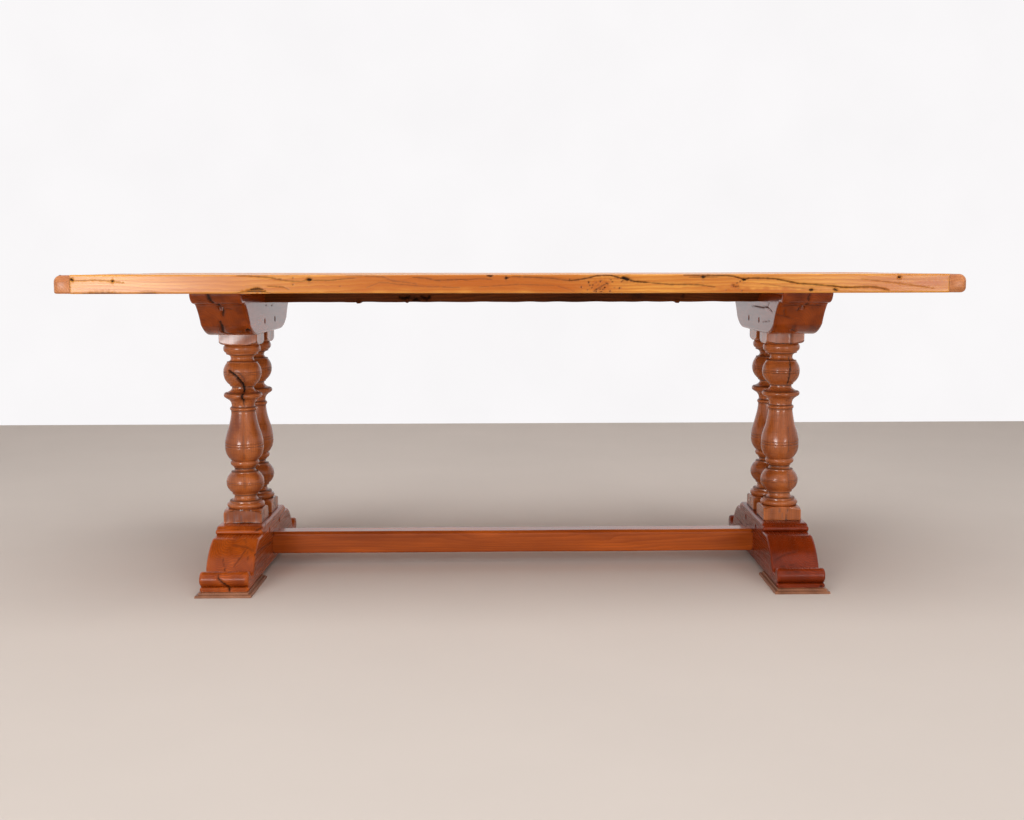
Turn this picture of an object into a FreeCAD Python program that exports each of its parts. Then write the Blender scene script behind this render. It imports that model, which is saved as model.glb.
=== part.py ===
import FreeCAD, Part
import math
import os

import Sketcher

# A trestle dining table: a thick boarded top with breadboard ends on two trestles. Each trestle is a
# bolster, two turned balusters and a sledge foot on pads. A stretcher joins the feet and a thin spine
# rail joins the bolsters. X runs along the table, Y across it, Z up from the middle of the floor.

# Driving dimensions in millimetres, by the piece that they belong to.
DRIVING_SIZES = (
    # Whole table
    ("table_height", 762.0),
    ("trestle_spacing", 1380.0),
    ("fit_clearance", 0.2),
    ("cut_overrun", 5.0),
    # Top
    ("top_length", 2055.0),
    ("top_width", 900.0),
    ("top_thickness", 42.0),
    ("top_arris_radius", 7.0),
    ("under_arris_radius", 3.0),
    ("spline_thickness", 9.0),
    ("spline_width", 38.0),
    ("spline_setback", 25.0),
    # Breadboard ends
    ("breadboard_width", 36.0),
    ("breadboard_top_radius", 12.0),
    ("breadboard_under_radius", 5.0),
    ("breadboard_corner_radius", 12.0),
    ("tongue_length", 18.0),
    ("tongue_thickness", 14.0),
    ("tongue_stop", 28.0),
    ("breadboard_peg_diameter", 9.0),
    ("breadboard_peg_play", 2.5),
    # Bolsters
    ("bolster_length", 727.0),
    ("bolster_height", 107.0),
    ("bolster_thickness", 119.0),
    ("bolster_end_length", 200.0),
    ("bolster_peg_rise", 30.0),
    # Balusters
    ("baluster_spacing", 142.0),
    ("block_width", 96.0),
    ("top_block_height", 29.0),
    ("bottom_block_height", 35.0),
    ("block_shoulder_drop", 9.0),
    ("turning_radius", 48.0),
    ("tenon_diameter", 50.0),
    ("upper_tenon_length", 64.0),
    ("lower_tenon_length", 68.0),
    ("tenon_end_gap", 2.0),
    # Feet and their pads
    ("foot_length", 710.0),
    ("foot_height", 119.0),
    ("foot_thickness", 117.0),
    ("toe_length", 212.0),
    ("foot_peg_drop", 27.0),
    ("pad_thickness", 11.0),
    ("pad_length", 205.0),
    ("pad_side_overhang", 8.0),
    ("pad_front_overhang", 14.0),
    ("pad_chamfer_width", 6.5),
    ("pad_chamfer_height", 7.5),
    # Pegs across the trestles
    ("trestle_peg_diameter", 16.0),
    ("trestle_peg_recess", 3.0),
    # Stretcher
    ("stretcher_width", 60.0),
    ("stretcher_height", 57.0),
    ("stretcher_rise", 21.0),
    ("stretcher_top_chamfer", 7.0),
    ("stretcher_under_chamfer", 3.0),
    ("stretcher_tenon_width", 34.0),
    ("stretcher_tenon_height", 39.0),
    ("wedge_length", 60.0),
    ("wedge_thickness", 5.0),
    ("wedge_tip_thickness", 1.5),
    # Spine rail
    ("rail_width", 130.0),
    ("rail_thickness", 30.0),
    ("rail_housing", 30.0),
    ("rail_dowel_diameter", 12.0),
    ("rail_dowel_depth", 28.0),
    # Screws up through the bolsters and the pads
    ("top_screw_diameter", 6.0),
    ("top_screw_head_diameter", 12.0),
    ("top_screw_head_height", 4.0),
    ("top_screw_seat", 18.0),
    ("top_screw_bite", 14.0),
    ("counterbore_diameter", 15.0),
    ("pad_screw_diameter", 4.0),
    ("pad_screw_head_diameter", 8.0),
    ("pad_screw_head_height", 2.5),
    ("pad_screw_sink", 1.0),
    ("pad_screw_bite", 20.0),
)

# Widths of the boards across the top, front to rear, in shares of the top's width.
BOARD_NAMES = ("front", "mid_front", "middle", "mid_rear", "rear")
BOARD_WIDTH_SHARES = (0.205, 0.190, 0.210, 0.200, 0.195)

# Places of the screws along a bolster, in shares of half its length.
TOP_SCREW_SHARES = (-0.82, -0.50, 0.0, 0.50, 0.82)

# Places of a pad's screws along the pad, in shares of its length.
PAD_SCREW_SHARES = (0.30, 0.74)

# Middle of the wedge slots in a stretcher tenon, in shares of half the tenon's width.
WEDGE_PLACE_SHARES = (-0.5, 0.5)

# How far the middle of a rounded corner lies from the square corner, as a share of its radius.
ROUND_MIDDLE_SHARE = 1.0 - math.sqrt(0.5)

# Outlines are rows of points. A row of four ends in the middle of the arc to the next point.
# End of a bolster, from its flat underside out to the lip: in from the end as a share of the end's
# length, then down from the top as a share of the bolster's height.
BOLSTER_END_SHARES = (
    (0.980, 1.000, 0.746, 0.938),
    (0.530, 0.757, 0.420, 0.509),
    (0.280, 0.294),
    (0.250, 0.280),
    (0.235, 0.248),
    (0.170, 0.238, 0.055, 0.192),
    (0.005, 0.084),
    (0.000, 0.000),
)

# End of a foot, from the sole round the roll, up the swept instep and over the bead to the flat top:
# in from the end as a share of the toe's length, then up as a share of the foot's height.
FOOT_END_SHARES = (
    (0.024, 0.000),
    (0.024, 0.076),
    (0.054, 0.094, 0.025, 0.342),
    (0.165, 0.286, 0.245, 0.218),
    (0.340, 0.311, 0.472, 0.605),
    (0.698, 0.832),
    (0.896, 0.840, 0.875, 0.895),
    (0.899, 0.950),
    (0.929, 0.954),
    (0.939, 0.975, 0.969, 0.9935),
    (1.000, 1.000),
)

# Turned part of a baluster between its blocks, from the bottom: up as a share of the turned length,
# then out as a share of the turning's radius. Torus, ball, vase, disc, ball and bead, necks between.
TURNING_SHARES = (
    (0.0000, 0.854, 0.0180, 0.992),
    (0.0360, 0.844),
    (0.0465, 0.833),
    (0.0477, 0.760, 0.0554, 0.638),
    (0.0680, 0.596),
    (0.0811, 0.600),
    (0.0835, 0.692),
    (0.0931, 0.708, 0.1563, 0.996),
    (0.2172, 0.729),
    (0.2243, 0.721),
    (0.2267, 0.617, 0.2351, 0.554),
    (0.2434, 0.538),
    (0.2494, 0.592),
    (0.2578, 0.633, 0.2757, 0.754),
    (0.2924, 0.700, 0.3270, 0.921),
    (0.3866, 1.000, 0.4368, 0.954),
    (0.4797, 0.838, 0.5298, 0.721),
    (0.5871, 0.638),
    (0.5990, 0.642, 0.6093, 0.700),
    (0.6196, 0.642),
    (0.6210, 0.617, 0.6468, 0.635),
    (0.6659, 0.763),
    (0.6809, 0.971, 0.6874, 1.000),
    (0.6938, 0.971),
    (0.7117, 0.775, 0.7191, 0.625),
    (0.7315, 0.558),
    (0.7446, 0.571),
    (0.7477, 0.654),
    (0.7554, 0.671, 0.8258, 0.996),
    (0.8890, 0.808),
    (0.8962, 0.796),
    (0.8981, 0.717, 0.9153, 0.596),
    (0.9391, 0.760),
    (0.9415, 0.829),
    (0.9499, 0.838, 0.9749, 0.975),
    (1.0000, 0.865),
)

# Outer reach of the cut that rounds a block's shoulders, and the middle of its arc: shares of half the
# block's width out from the axis, and of the shoulder's drop.
SHOULDER_REACH_SHARE = 1.45
SHOULDER_MIDDLE_SHARES = (1.25, 0.36)

# Half of a width or a length.
HALF_SHARE = 0.5

doc = FreeCAD.newDocument("TrestleTable")
sheet = doc.addObject("Spreadsheet::Sheet", "Sizes")
for row, (alias, length) in enumerate(DRIVING_SIZES, start=1):
    sheet.set(f"A{row}", alias)
    sheet.set(f"B{row}", str(length))
    sheet.setAlias(f"B{row}", alias)
doc.recompute()


class Size:
    """A length: its value now and the expression that ties it to the sheet."""

    def __init__(self, value, text):
        self.value = value
        self.text = text

    def __add__(self, other):
        return Size(self.value + other.value, f"({self.text} + {other.text})")

    def __sub__(self, other):
        return Size(self.value - other.value, f"({self.text} - {other.text})")

    def __mul__(self, share):
        return Size(self.value * share, f"({self.text} * {share!r})")

    def __neg__(self):
        return self * -1


def size(alias):
    return Size(float(sheet.get(alias)), f"Sizes.{alias}")


ZERO = Size(0.0, "0")
FIT = size("fit_clearance")
OVERRUN = size("cut_overrun")

# Places that several pieces share.
TOP_UNDERSIDE = size("table_height") - size("top_thickness")
BOLSTER_BOTTOM = TOP_UNDERSIDE - size("bolster_height")
FOOT_BOTTOM = size("pad_thickness")
FOOT_TOP = FOOT_BOTTOM + size("foot_height")
BALUSTER_LENGTH = BOLSTER_BOTTOM - FOOT_TOP
TRESTLE_PLACE = size("trestle_spacing") * HALF_SHARE
BALUSTER_PLACE = size("baluster_spacing") * HALF_SHARE
STRETCHER_BOTTOM = FOOT_BOTTOM + size("stretcher_rise")
SHOULDER_PLACE = size("top_length") * HALF_SHARE - size("breadboard_width")
TONGUE_END = SHOULDER_PLACE + size("tongue_length")
TONGUE_BOTTOM = (size("top_thickness") - size("tongue_thickness")) * HALF_SHARE
TONGUE_TOP = TONGUE_BOTTOM + size("tongue_thickness")
BREADBOARD_PEG_PLACE = SHOULDER_PLACE + size("tongue_length") * HALF_SHARE
TRESTLE_PEG_RADIUS = size("trestle_peg_diameter") * HALF_SHARE
TENON_RADIUS = size("tenon_diameter") * HALF_SHARE
RAIL_END = TRESTLE_PLACE - size("bolster_thickness") * HALF_SHARE + size("rail_housing") - FIT
RAIL_DOWEL_PLACE = RAIL_END - size("rail_housing") * HALF_SHARE
HEAD_SEAT = TOP_UNDERSIDE - size("top_screw_seat")
SIDES = {"left": -1, "right": 1}
ENDS = {"front": -1, "rear": 1}

subparts = []


def bind(thing, values):
    """Ties the named properties of a document object to sizes."""
    for name, value in values.items():
        thing.setExpression(name, value.text)


def place(thing, x=ZERO, y=ZERO, z=ZERO):
    bind(thing, {"Placement.Base.x": x, "Placement.Base.y": y, "Placement.Base.z": z})


def keep(thing):
    """Takes a finished object into the list of sub-parts."""
    subparts.append(thing)
    return thing


def new_body(name):
    body = doc.addObject("PartDesign::Body", name)
    body.Label = name
    return body


def pin(ties, geometry, point, u, v):
    """Fixes a point of a sketch at its distances from the sketch's axes."""
    for kind, axis, distance in (("DistanceX", -2, u), ("DistanceY", -1, v)):
        if distance.value == 0.0:
            ties.append((Sketcher.Constraint("PointOnObject", geometry, point, axis), None))
            continue
        ends = (-1, 1, geometry, point)
        if distance.value < 0.0:
            ends = (geometry, point, -1, 1)
            distance = -distance
        ties.append((Sketcher.Constraint(kind, *ends, distance.value), distance.text))


def arc_through(start, middle, end):
    """The arc on three points, and whether it runs from start to end as a sketch counts arcs."""
    curve = Part.Arc(start, middle, end).toShape().Curve
    turn = (middle - start).cross(end - start).z
    first, last = (start, end) if turn > 0.0 else (end, start)
    centre = curve.Center
    angles = [math.atan2(p.y - centre.y, p.x - centre.x) for p in (first, last)]
    if angles[1] < angles[0]:
        angles[1] += 2.0 * math.pi
    circle = Part.Circle(centre, FreeCAD.Vector(0, 0, 1), curve.Radius)
    return Part.ArcOfCircle(circle, *angles), turn > 0.0


def add_outline(sketch, ties, corners):
    """Draws a closed outline. A corner is (u, v), or (u, v, mu, mv) where an arc's middle comes next."""
    drawn = []
    for corner, following in zip(corners, corners[1:] + corners[:1]):
        start = FreeCAD.Vector(corner[0].value, corner[1].value, 0)
        end = FreeCAD.Vector(following[0].value, following[1].value, 0)
        if len(corner) == 2:
            drawn.append((sketch.addGeometry(Part.LineSegment(start, end), False), 1, 2))
            continue
        middle = FreeCAD.Vector(corner[2].value, corner[3].value, 0)
        arc, forward = arc_through(start, middle, end)
        edge = sketch.addGeometry(arc, False)
        point = sketch.addGeometry(Part.Point(middle), True)
        pin(ties, point, 1, corner[2], corner[3])
        ties.append((Sketcher.Constraint("PointOnObject", point, 1, edge), None))
        drawn.append((edge, 1, 2) if forward else (edge, 2, 1))
    for corner, here, before in zip(corners, drawn, drawn[-1:] + drawn[:-1]):
        ties.append((Sketcher.Constraint("Coincident", before[0], before[2], here[0], here[1]), None))
        pin(ties, here[0], here[1], corner[0], corner[1])


def add_circle(sketch, ties, u, v, radius):
    circle = Part.Circle(FreeCAD.Vector(u.value, v.value, 0), FreeCAD.Vector(0, 0, 1), radius.value)
    geometry = sketch.addGeometry(circle, False)
    pin(ties, geometry, 3, u, v)
    ties.append((Sketcher.Constraint("Radius", geometry, radius.value), radius.text))


def rectangle(u0, u1, v0, v1):
    return [(u0, v0), (u1, v0), (u1, v1), (u0, v1)]


def new_sketch(body, plane, outlines=(), circles=(), offset=None):
    """A sketch on one of the body's own planes, moved along the plane's normal by the offset."""
    sketch = body.newObject("Sketcher::SketchObject", f"{body.Name}_sketch")
    support = next(f for f in body.Origin.OriginFeatures if f.Role == f"{plane}_Plane")
    sketch.AttachmentSupport = (support, [""])
    sketch.MapMode = "FlatFace"
    if offset is not None:
        bind(sketch, {"AttachmentOffset.Base.z": offset})
    ties = []
    for outline in outlines:
        add_outline(sketch, ties, outline)
    for circle in circles:
        add_circle(sketch, ties, *circle)
    sketch.addConstraint([constraint for constraint, text in ties])
    for index, (constraint, text) in enumerate(ties):
        if text is not None:
            sketch.setExpression(f"Constraints[{index}]", text)
    return sketch


def add_pad(body, sketch, length, symmetric=False):
    pad = body.newObject("PartDesign::Pad", f"{body.Name}_pad")
    pad.Profile = sketch
    bind(pad, {"Length": length})
    if symmetric:
        pad.SideType = "Symmetric"
    doc.recompute()
    return pad


def finish_cut(body, cut, volume):
    doc.recompute()
    if not cut.Shape.Volume < volume:
        raise RuntimeError(f"a cut in {body.Label} removes nothing")
    return cut


def cut_through(body, sketch):
    """Cuts a sketch right through the body, both ways."""
    volume = body.Shape.Volume
    pocket = body.newObject("PartDesign::Pocket", f"{body.Name}_pocket")
    pocket.Profile = sketch
    pocket.Type = "ThroughAll"
    pocket.SideType = "Symmetric"
    return finish_cut(body, pocket, volume)


def cut_blind(body, sketch, depth, along_normal):
    """Cuts a sketch to a depth, along its plane's normal or against it."""
    volume = body.Shape.Volume
    pocket = body.newObject("PartDesign::Pocket", f"{body.Name}_pocket")
    pocket.Profile = sketch
    pocket.Reversed = along_normal
    bind(pocket, {"Length": depth})
    return finish_cut(body, pocket, volume)


def group(name, members):
    """One node of several like solids."""
    compound = doc.addObject("Part::Compound", name)
    compound.Label = name
    compound.Links = members
    doc.recompute()
    return keep(compound)


def cylinder(name, radius, height, axis="Z"):
    rod = doc.addObject("Part::Cylinder", name)
    bind(rod, {"Radius": radius, "Height": height})
    if axis == "X":
        turn = FreeCAD.Rotation(FreeCAD.Vector(0, 1, 0), 90)
        rod.Placement = FreeCAD.Placement(FreeCAD.Vector(), turn)
    return rod


def board_edges():
    """Front and rear edge of each board across the top."""
    edges = []
    front = -size("top_width") * HALF_SHARE
    for share in BOARD_WIDTH_SHARES:
        rear = front + size("top_width") * share
        edges.append((front, rear))
        front = rear
    return edges


def spline_groove():
    """Depth, bottom and top of the groove for a loose spline in a board's edge."""
    depth = size("spline_width") * HALF_SHARE + FIT
    bottom = (size("top_thickness") - size("spline_thickness")) * HALF_SHARE
    return depth, bottom - FIT, bottom + size("spline_thickness") + FIT


def grooved_edge(y, side):
    depth, bottom, top = spline_groove()
    inner = y - depth * side
    return [(y, ZERO), (y, bottom), (inner, bottom), (inner, top), (y, top), (y, size("top_thickness"))]


def rounded_edge(y, side, under_radius, top_radius):
    """An outer edge from underside to top, with both arrises rounded. Side is the way it faces."""
    height = size("top_thickness")
    under_middle = under_radius * ROUND_MIDDLE_SHARE
    top_middle = top_radius * ROUND_MIDDLE_SHARE
    return [
        (y - under_radius * side, ZERO, y - under_middle * side, under_middle),
        (y, under_radius),
        (y, height - top_radius, y - top_middle * side, height - top_middle),
        (y - top_radius * side, height),
    ]


def reversed_run(corners):
    """The same open run of corners, drawn the other way."""
    points = [corner[:2] for corner in corners]
    middles = [corner[2:] for corner in corners]
    return [points[i] + (middles[i - 1] if i else ()) for i in range(len(corners) - 1, -1, -1)]


def mirrored_run(corners):
    """The same run on the other side of the sketch's upright axis, drawn back to its start."""
    flipped = []
    for corner in corners:
        signs = (-1, 1) * (len(corner) // 2)
        flipped.append(tuple(value * sign for value, sign in zip(corner, signs)))
    return reversed_run(flipped)


def trestle_screw_places():
    return [size("bolster_length") * (HALF_SHARE * share) for share in TOP_SCREW_SHARES]


def make_board(number, front, rear):
    """A top board with its tongues, edge grooves, peg slots and screw pilots."""
    last = len(BOARD_NAMES) - 1
    body = new_body(f"top_board_{BOARD_NAMES[number]}")
    arrises = (size("under_arris_radius"), size("top_arris_radius"))
    front_run = rounded_edge(front, -1, *arrises) if number == 0 else grooved_edge(front, -1)
    rear_run = rounded_edge(rear, 1, *arrises) if number == last else grooved_edge(rear, 1)
    section = new_sketch(body, "YZ", [rear_run + reversed_run(front_run)])
    add_pad(body, section, TONGUE_END * 2, symmetric=True)

    above = (TONGUE_TOP, size("top_thickness") + OVERRUN)
    below = (-OVERRUN, TONGUE_BOTTOM)
    cheeks = []
    for sign in SIDES.values():
        for low, high in (above, below):
            cheeks.append(rectangle(SHOULDER_PLACE * sign, (TONGUE_END + OVERRUN) * sign, low, high))
    cut_through(body, new_sketch(body, "XZ", cheeks))

    stops = []
    for sign in SIDES.values():
        reach = (SHOULDER_PLACE * sign, (TONGUE_END + OVERRUN) * sign)
        if number == 0:
            stops.append(rectangle(*reach, front - OVERRUN, front + size("tongue_stop")))
        if number == last:
            stops.append(rectangle(*reach, rear - size("tongue_stop"), rear + OVERRUN))
    if stops:
        cut_through(body, new_sketch(body, "XY", stops))

    slot_half_width = size("breadboard_peg_diameter") * HALF_SHARE + FIT
    slot_half_length = slot_half_width + size("breadboard_peg_play")
    middle = (front + rear) * HALF_SHARE
    slots = []
    for sign in SIDES.values():
        x = BREADBOARD_PEG_PLACE * sign
        slots.append(rectangle(x - slot_half_width, x + slot_half_width,
                               middle - slot_half_length, middle + slot_half_length))
    cut_through(body, new_sketch(body, "XY", slots))

    pilot_radius = size("top_screw_diameter") * HALF_SHARE + FIT
    pilots = []
    for y in trestle_screw_places():
        if front.value - pilot_radius.value < y.value < rear.value + pilot_radius.value:
            pilots.extend((TRESTLE_PLACE * sign, y, pilot_radius) for sign in SIDES.values())
    if pilots:
        cut_blind(body, new_sketch(body, "XY", circles=pilots), size("top_screw_bite") + FIT, True)
    place(body, z=TOP_UNDERSIDE)
    return keep(body)


def make_spline(number, joint):
    """A loose spline in the grooves of two neighbouring boards."""
    spline = doc.addObject("Part::Box", f"board_spline_{number}")
    spline.Label = spline.Name
    half_length = SHOULDER_PLACE - size("spline_setback")
    width = size("spline_width")
    thickness = size("spline_thickness")
    bind(spline, {"Length": half_length * 2, "Width": width, "Height": thickness})
    rise = (size("top_thickness") - thickness) * HALF_SHARE
    place(spline, -half_length, joint - width * HALF_SHARE, TOP_UNDERSIDE + rise)
    return keep(spline)


def make_breadboard(side, sign, peg_places):
    """A breadboard end, grooved over the boards' tongues, with its outer corners rounded."""
    body = new_body(f"breadboard_{side}")
    inner = SHOULDER_PLACE * sign
    outer = (SHOULDER_PLACE + size("breadboard_width")) * sign
    edge = rounded_edge(outer, sign, size("breadboard_under_radius"), size("breadboard_top_radius"))
    section = new_sketch(body, "XZ", [[(inner, ZERO)] + edge + [(inner, size("top_thickness"))]])
    half_width = size("top_width") * HALF_SHARE
    add_pad(body, section, half_width * 2, symmetric=True)

    radius = size("breadboard_corner_radius")
    round_middle = radius * ROUND_MIDDLE_SHARE
    corners = []
    for end in ENDS.values():
        x_start = outer - radius * sign
        x_past = outer + OVERRUN * sign
        y_start = (half_width - radius) * end
        y_past = (half_width + OVERRUN) * end
        corners.append([
            (x_start, y_past),
            (x_past, y_past),
            (x_past, y_start),
            (outer, y_start, outer - round_middle * sign, (half_width - round_middle) * end),
            (x_start, half_width * end),
        ])
    cut_through(body, new_sketch(body, "XY", corners))

    half_groove = half_width - size("tongue_stop") + FIT
    groove = rectangle(-half_groove, half_groove, TONGUE_BOTTOM - FIT, TONGUE_TOP + FIT)
    depth = size("tongue_length") + FIT
    cut_blind(body, new_sketch(body, "YZ", [groove], offset=inner), depth, sign > 0)

    radius = size("breadboard_peg_diameter") * HALF_SHARE + FIT
    holes = [(BREADBOARD_PEG_PLACE * sign, y, radius) for y in peg_places]
    cut_through(body, new_sketch(body, "XY", circles=holes))
    place(body, z=TOP_UNDERSIDE)
    return keep(body)


def make_breadboard_pegs(side, sign, peg_places):
    pegs = []
    for number, y in enumerate(peg_places, start=1):
        radius = size("breadboard_peg_diameter") * HALF_SHARE
        peg = cylinder(f"breadboard_peg_{side}_{number}", radius, size("top_thickness"))
        place(peg, BREADBOARD_PEG_PLACE * sign, y, TOP_UNDERSIDE)
        pegs.append(peg)
    return group(f"breadboard_pegs_{side}", pegs)


def bolster_outline():
    half_length = size("bolster_length") * HALF_SHARE
    height = size("bolster_height")
    run = []
    for row in BOLSTER_END_SHARES:
        corner = ()
        for inward, down in zip(row[::2], row[1::2]):
            corner += (half_length - size("bolster_end_length") * inward, height - height * down)
        run.append(corner)
    return run + mirrored_run(run)


def make_bolster(side, sign):
    """A shaped bolster with the balusters' mortises, the rail's housing and counterbored screw holes."""
    body = new_body(f"bolster_{side}")
    add_pad(body, new_sketch(body, "YZ", [bolster_outline()]), size("bolster_thickness"), symmetric=True)

    mortises = [(ZERO, BALUSTER_PLACE * end, TENON_RADIUS + FIT) for end in ENDS.values()]
    depth = size("upper_tenon_length") + size("tenon_end_gap")
    cut_blind(body, new_sketch(body, "XY", circles=mortises), depth, True)

    peg_height = size("bolster_peg_rise")
    pegs = [(BALUSTER_PLACE * end, peg_height, TRESTLE_PEG_RADIUS + FIT) for end in ENDS.values()]
    cut_through(body, new_sketch(body, "YZ", circles=pegs))

    inner_face = size("bolster_thickness") * (-HALF_SHARE * sign)
    housing_end = inner_face + size("rail_housing") * sign
    half_housing = size("rail_width") * HALF_SHARE + FIT
    housing = rectangle(inner_face - OVERRUN * sign, housing_end, -half_housing, half_housing)
    top = size("bolster_height")
    cut_blind(body, new_sketch(body, "XY", [housing], offset=top), size("rail_thickness"), False)

    dowel_radius = size("rail_dowel_diameter") * HALF_SHARE + FIT
    dowel = ((RAIL_DOWEL_PLACE - TRESTLE_PLACE) * sign, ZERO, dowel_radius)
    dowel_depth = size("rail_thickness") + size("rail_dowel_depth")
    cut_blind(body, new_sketch(body, "XY", circles=[dowel], offset=top), dowel_depth, False)

    places = trestle_screw_places()
    shanks = [(ZERO, y, size("top_screw_diameter") * HALF_SHARE + FIT) for y in places]
    cut_through(body, new_sketch(body, "XY", circles=shanks))
    bores = [(ZERO, y, size("counterbore_diameter") * HALF_SHARE) for y in places]
    cut_blind(body, new_sketch(body, "XY", circles=bores), HEAD_SEAT - BOLSTER_BOTTOM, True)
    place(body, TRESTLE_PLACE * sign, z=BOLSTER_BOTTOM)
    return keep(body)


def make_screw(name, diameter, length, head_diameter, head_height):
    """A plain shank that stands on a flat head, with the head's upper face at zero."""
    shank = cylinder(f"{name}_shank", diameter * HALF_SHARE, length)
    head = cylinder(f"{name}_head", head_diameter * HALF_SHARE, head_height)
    place(head, z=-head_height)
    screw = doc.addObject("Part::Fuse", name)
    screw.Base = shank
    screw.Tool = head
    return screw


def make_top_screws(side, sign):
    screws = []
    for number, y in enumerate(trestle_screw_places(), start=1):
        screw = make_screw(f"top_screw_{side}_{number}", size("top_screw_diameter"),
                           size("top_screw_seat") + size("top_screw_bite"),
                           size("top_screw_head_diameter"), size("top_screw_head_height"))
        place(screw, TRESTLE_PLACE * sign, y, HEAD_SEAT)
        screws.append(screw)
    return group(f"top_screws_{side}", screws)


def make_trestle_pegs(name, x, z, thickness):
    """Two pegs across a bolster or a foot, a little short of both faces."""
    length = thickness - size("trestle_peg_recess") * 2
    pegs = []
    for end, sign in ENDS.items():
        peg = cylinder(f"{name}_{end}", TRESTLE_PEG_RADIUS, length, axis="X")
        place(peg, x - length * HALF_SHARE, BALUSTER_PLACE * sign, z)
        pegs.append(peg)
    return group(name, pegs)


def turned_outline():
    """Half of a baluster's turning with its round tenons, and a core where the square blocks go."""
    core = size("tenon_diameter") * HALF_SHARE
    start = size("bottom_block_height")
    stop = BALUSTER_LENGTH - size("top_block_height")
    outline = [(ZERO, -size("lower_tenon_length")), (core, -size("lower_tenon_length")), (core, start)]
    for row in TURNING_SHARES:
        corner = ()
        for up, out in zip(row[::2], row[1::2]):
            corner += (size("turning_radius") * out, start + (stop - start) * up)
        outline.append(corner)
    tip = BALUSTER_LENGTH + size("upper_tenon_length")
    return outline + [(core, stop), (core, tip), (ZERO, tip)]


def shoulder_outline(face, outward):
    """What the lathe takes off the corners of a block at its inner face, which looks along outward."""
    half = size("block_width") * HALF_SHARE
    drop = size("block_shoulder_drop") * outward
    reach = half * SHOULDER_REACH_SHARE
    across, down = SHOULDER_MIDDLE_SHARES
    return [
        (half, face + OVERRUN * outward),
        (reach, face + OVERRUN * outward),
        (reach, face - drop, half * across, face - drop * down),
        (half, face),
    ]


def make_baluster(side, sign, end, end_sign):
    """A turned baluster with a square block and a round tenon at each end."""
    body = new_body(f"baluster_{side}_{end}")
    profile = new_sketch(body, "XZ", [turned_outline()])
    turning = body.newObject("PartDesign::Revolution", f"{body.Name}_turning")
    turning.Profile = profile
    turning.ReferenceAxis = (profile, ["V_Axis"])
    doc.recompute()

    half = size("block_width") * HALF_SHARE
    square = rectangle(-half, half, -half, half)
    stop = BALUSTER_LENGTH - size("top_block_height")
    add_pad(body, new_sketch(body, "XY", [square]), size("bottom_block_height"))
    add_pad(body, new_sketch(body, "XY", [square], offset=stop), size("top_block_height"))
    shoulders = [shoulder_outline(size("bottom_block_height"), 1), shoulder_outline(stop, -1)]
    for outline in shoulders:
        volume = body.Shape.Volume
        profile = new_sketch(body, "XZ", [outline])
        groove = body.newObject("PartDesign::Groove", f"{body.Name}_shoulder")
        groove.Profile = profile
        groove.ReferenceAxis = (profile, ["V_Axis"])
        finish_cut(body, groove, volume)

    heights = (-size("foot_peg_drop"), BALUSTER_LENGTH + size("bolster_peg_rise"))
    holes = [(ZERO, z, TRESTLE_PEG_RADIUS + FIT) for z in heights]
    cut_through(body, new_sketch(body, "YZ", circles=holes))
    place(body, TRESTLE_PLACE * sign, BALUSTER_PLACE * end_sign, FOOT_TOP)
    return keep(body)


def foot_outline():
    half_length = size("foot_length") * HALF_SHARE
    run = []
    for row in FOOT_END_SHARES:
        corner = ()
        for inward, up in zip(row[::2], row[1::2]):
            corner += (half_length - size("toe_length") * inward, size("foot_height") * up)
        run.append(corner)
    return run + mirrored_run(run)


def pad_screw_places():
    """Places of one pad's screws, out from the middle of the foot."""
    outer = size("foot_length") * HALF_SHARE + size("pad_front_overhang")
    return [outer - size("pad_length") * share for share in PAD_SCREW_SHARES]


def make_foot(side, sign):
    """A sledge foot with the balusters' mortises and a through mortise for the stretcher."""
    body = new_body(f"foot_{side}")
    add_pad(body, new_sketch(body, "YZ", [foot_outline()]), size("foot_thickness"), symmetric=True)

    mortises = [(ZERO, BALUSTER_PLACE * end, TENON_RADIUS + FIT) for end in ENDS.values()]
    depth = size("lower_tenon_length") + size("tenon_end_gap")
    cut_blind(body, new_sketch(body, "XY", circles=mortises, offset=size("foot_height")), depth, False)

    peg_height = size("foot_height") - size("foot_peg_drop")
    pegs = [(BALUSTER_PLACE * end, peg_height, TRESTLE_PEG_RADIUS + FIT) for end in ENDS.values()]
    cut_through(body, new_sketch(body, "YZ", circles=pegs))

    half_width = size("stretcher_tenon_width") * HALF_SHARE + FIT
    shoulder = (size("stretcher_height") - size("stretcher_tenon_height")) * HALF_SHARE
    bottom = size("stretcher_rise") + shoulder
    top = bottom + size("stretcher_tenon_height")
    mortise = rectangle(-half_width, half_width, bottom - FIT, top + FIT)
    cut_through(body, new_sketch(body, "YZ", [mortise]))

    radius = size("pad_screw_diameter") * HALF_SHARE + FIT
    pilots = [(ZERO, y * end, radius) for end in ENDS.values() for y in pad_screw_places()]
    cut_blind(body, new_sketch(body, "XY", circles=pilots), size("pad_screw_bite") + FIT, True)
    place(body, TRESTLE_PLACE * sign, z=FOOT_BOTTOM)
    return keep(body)


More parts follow.
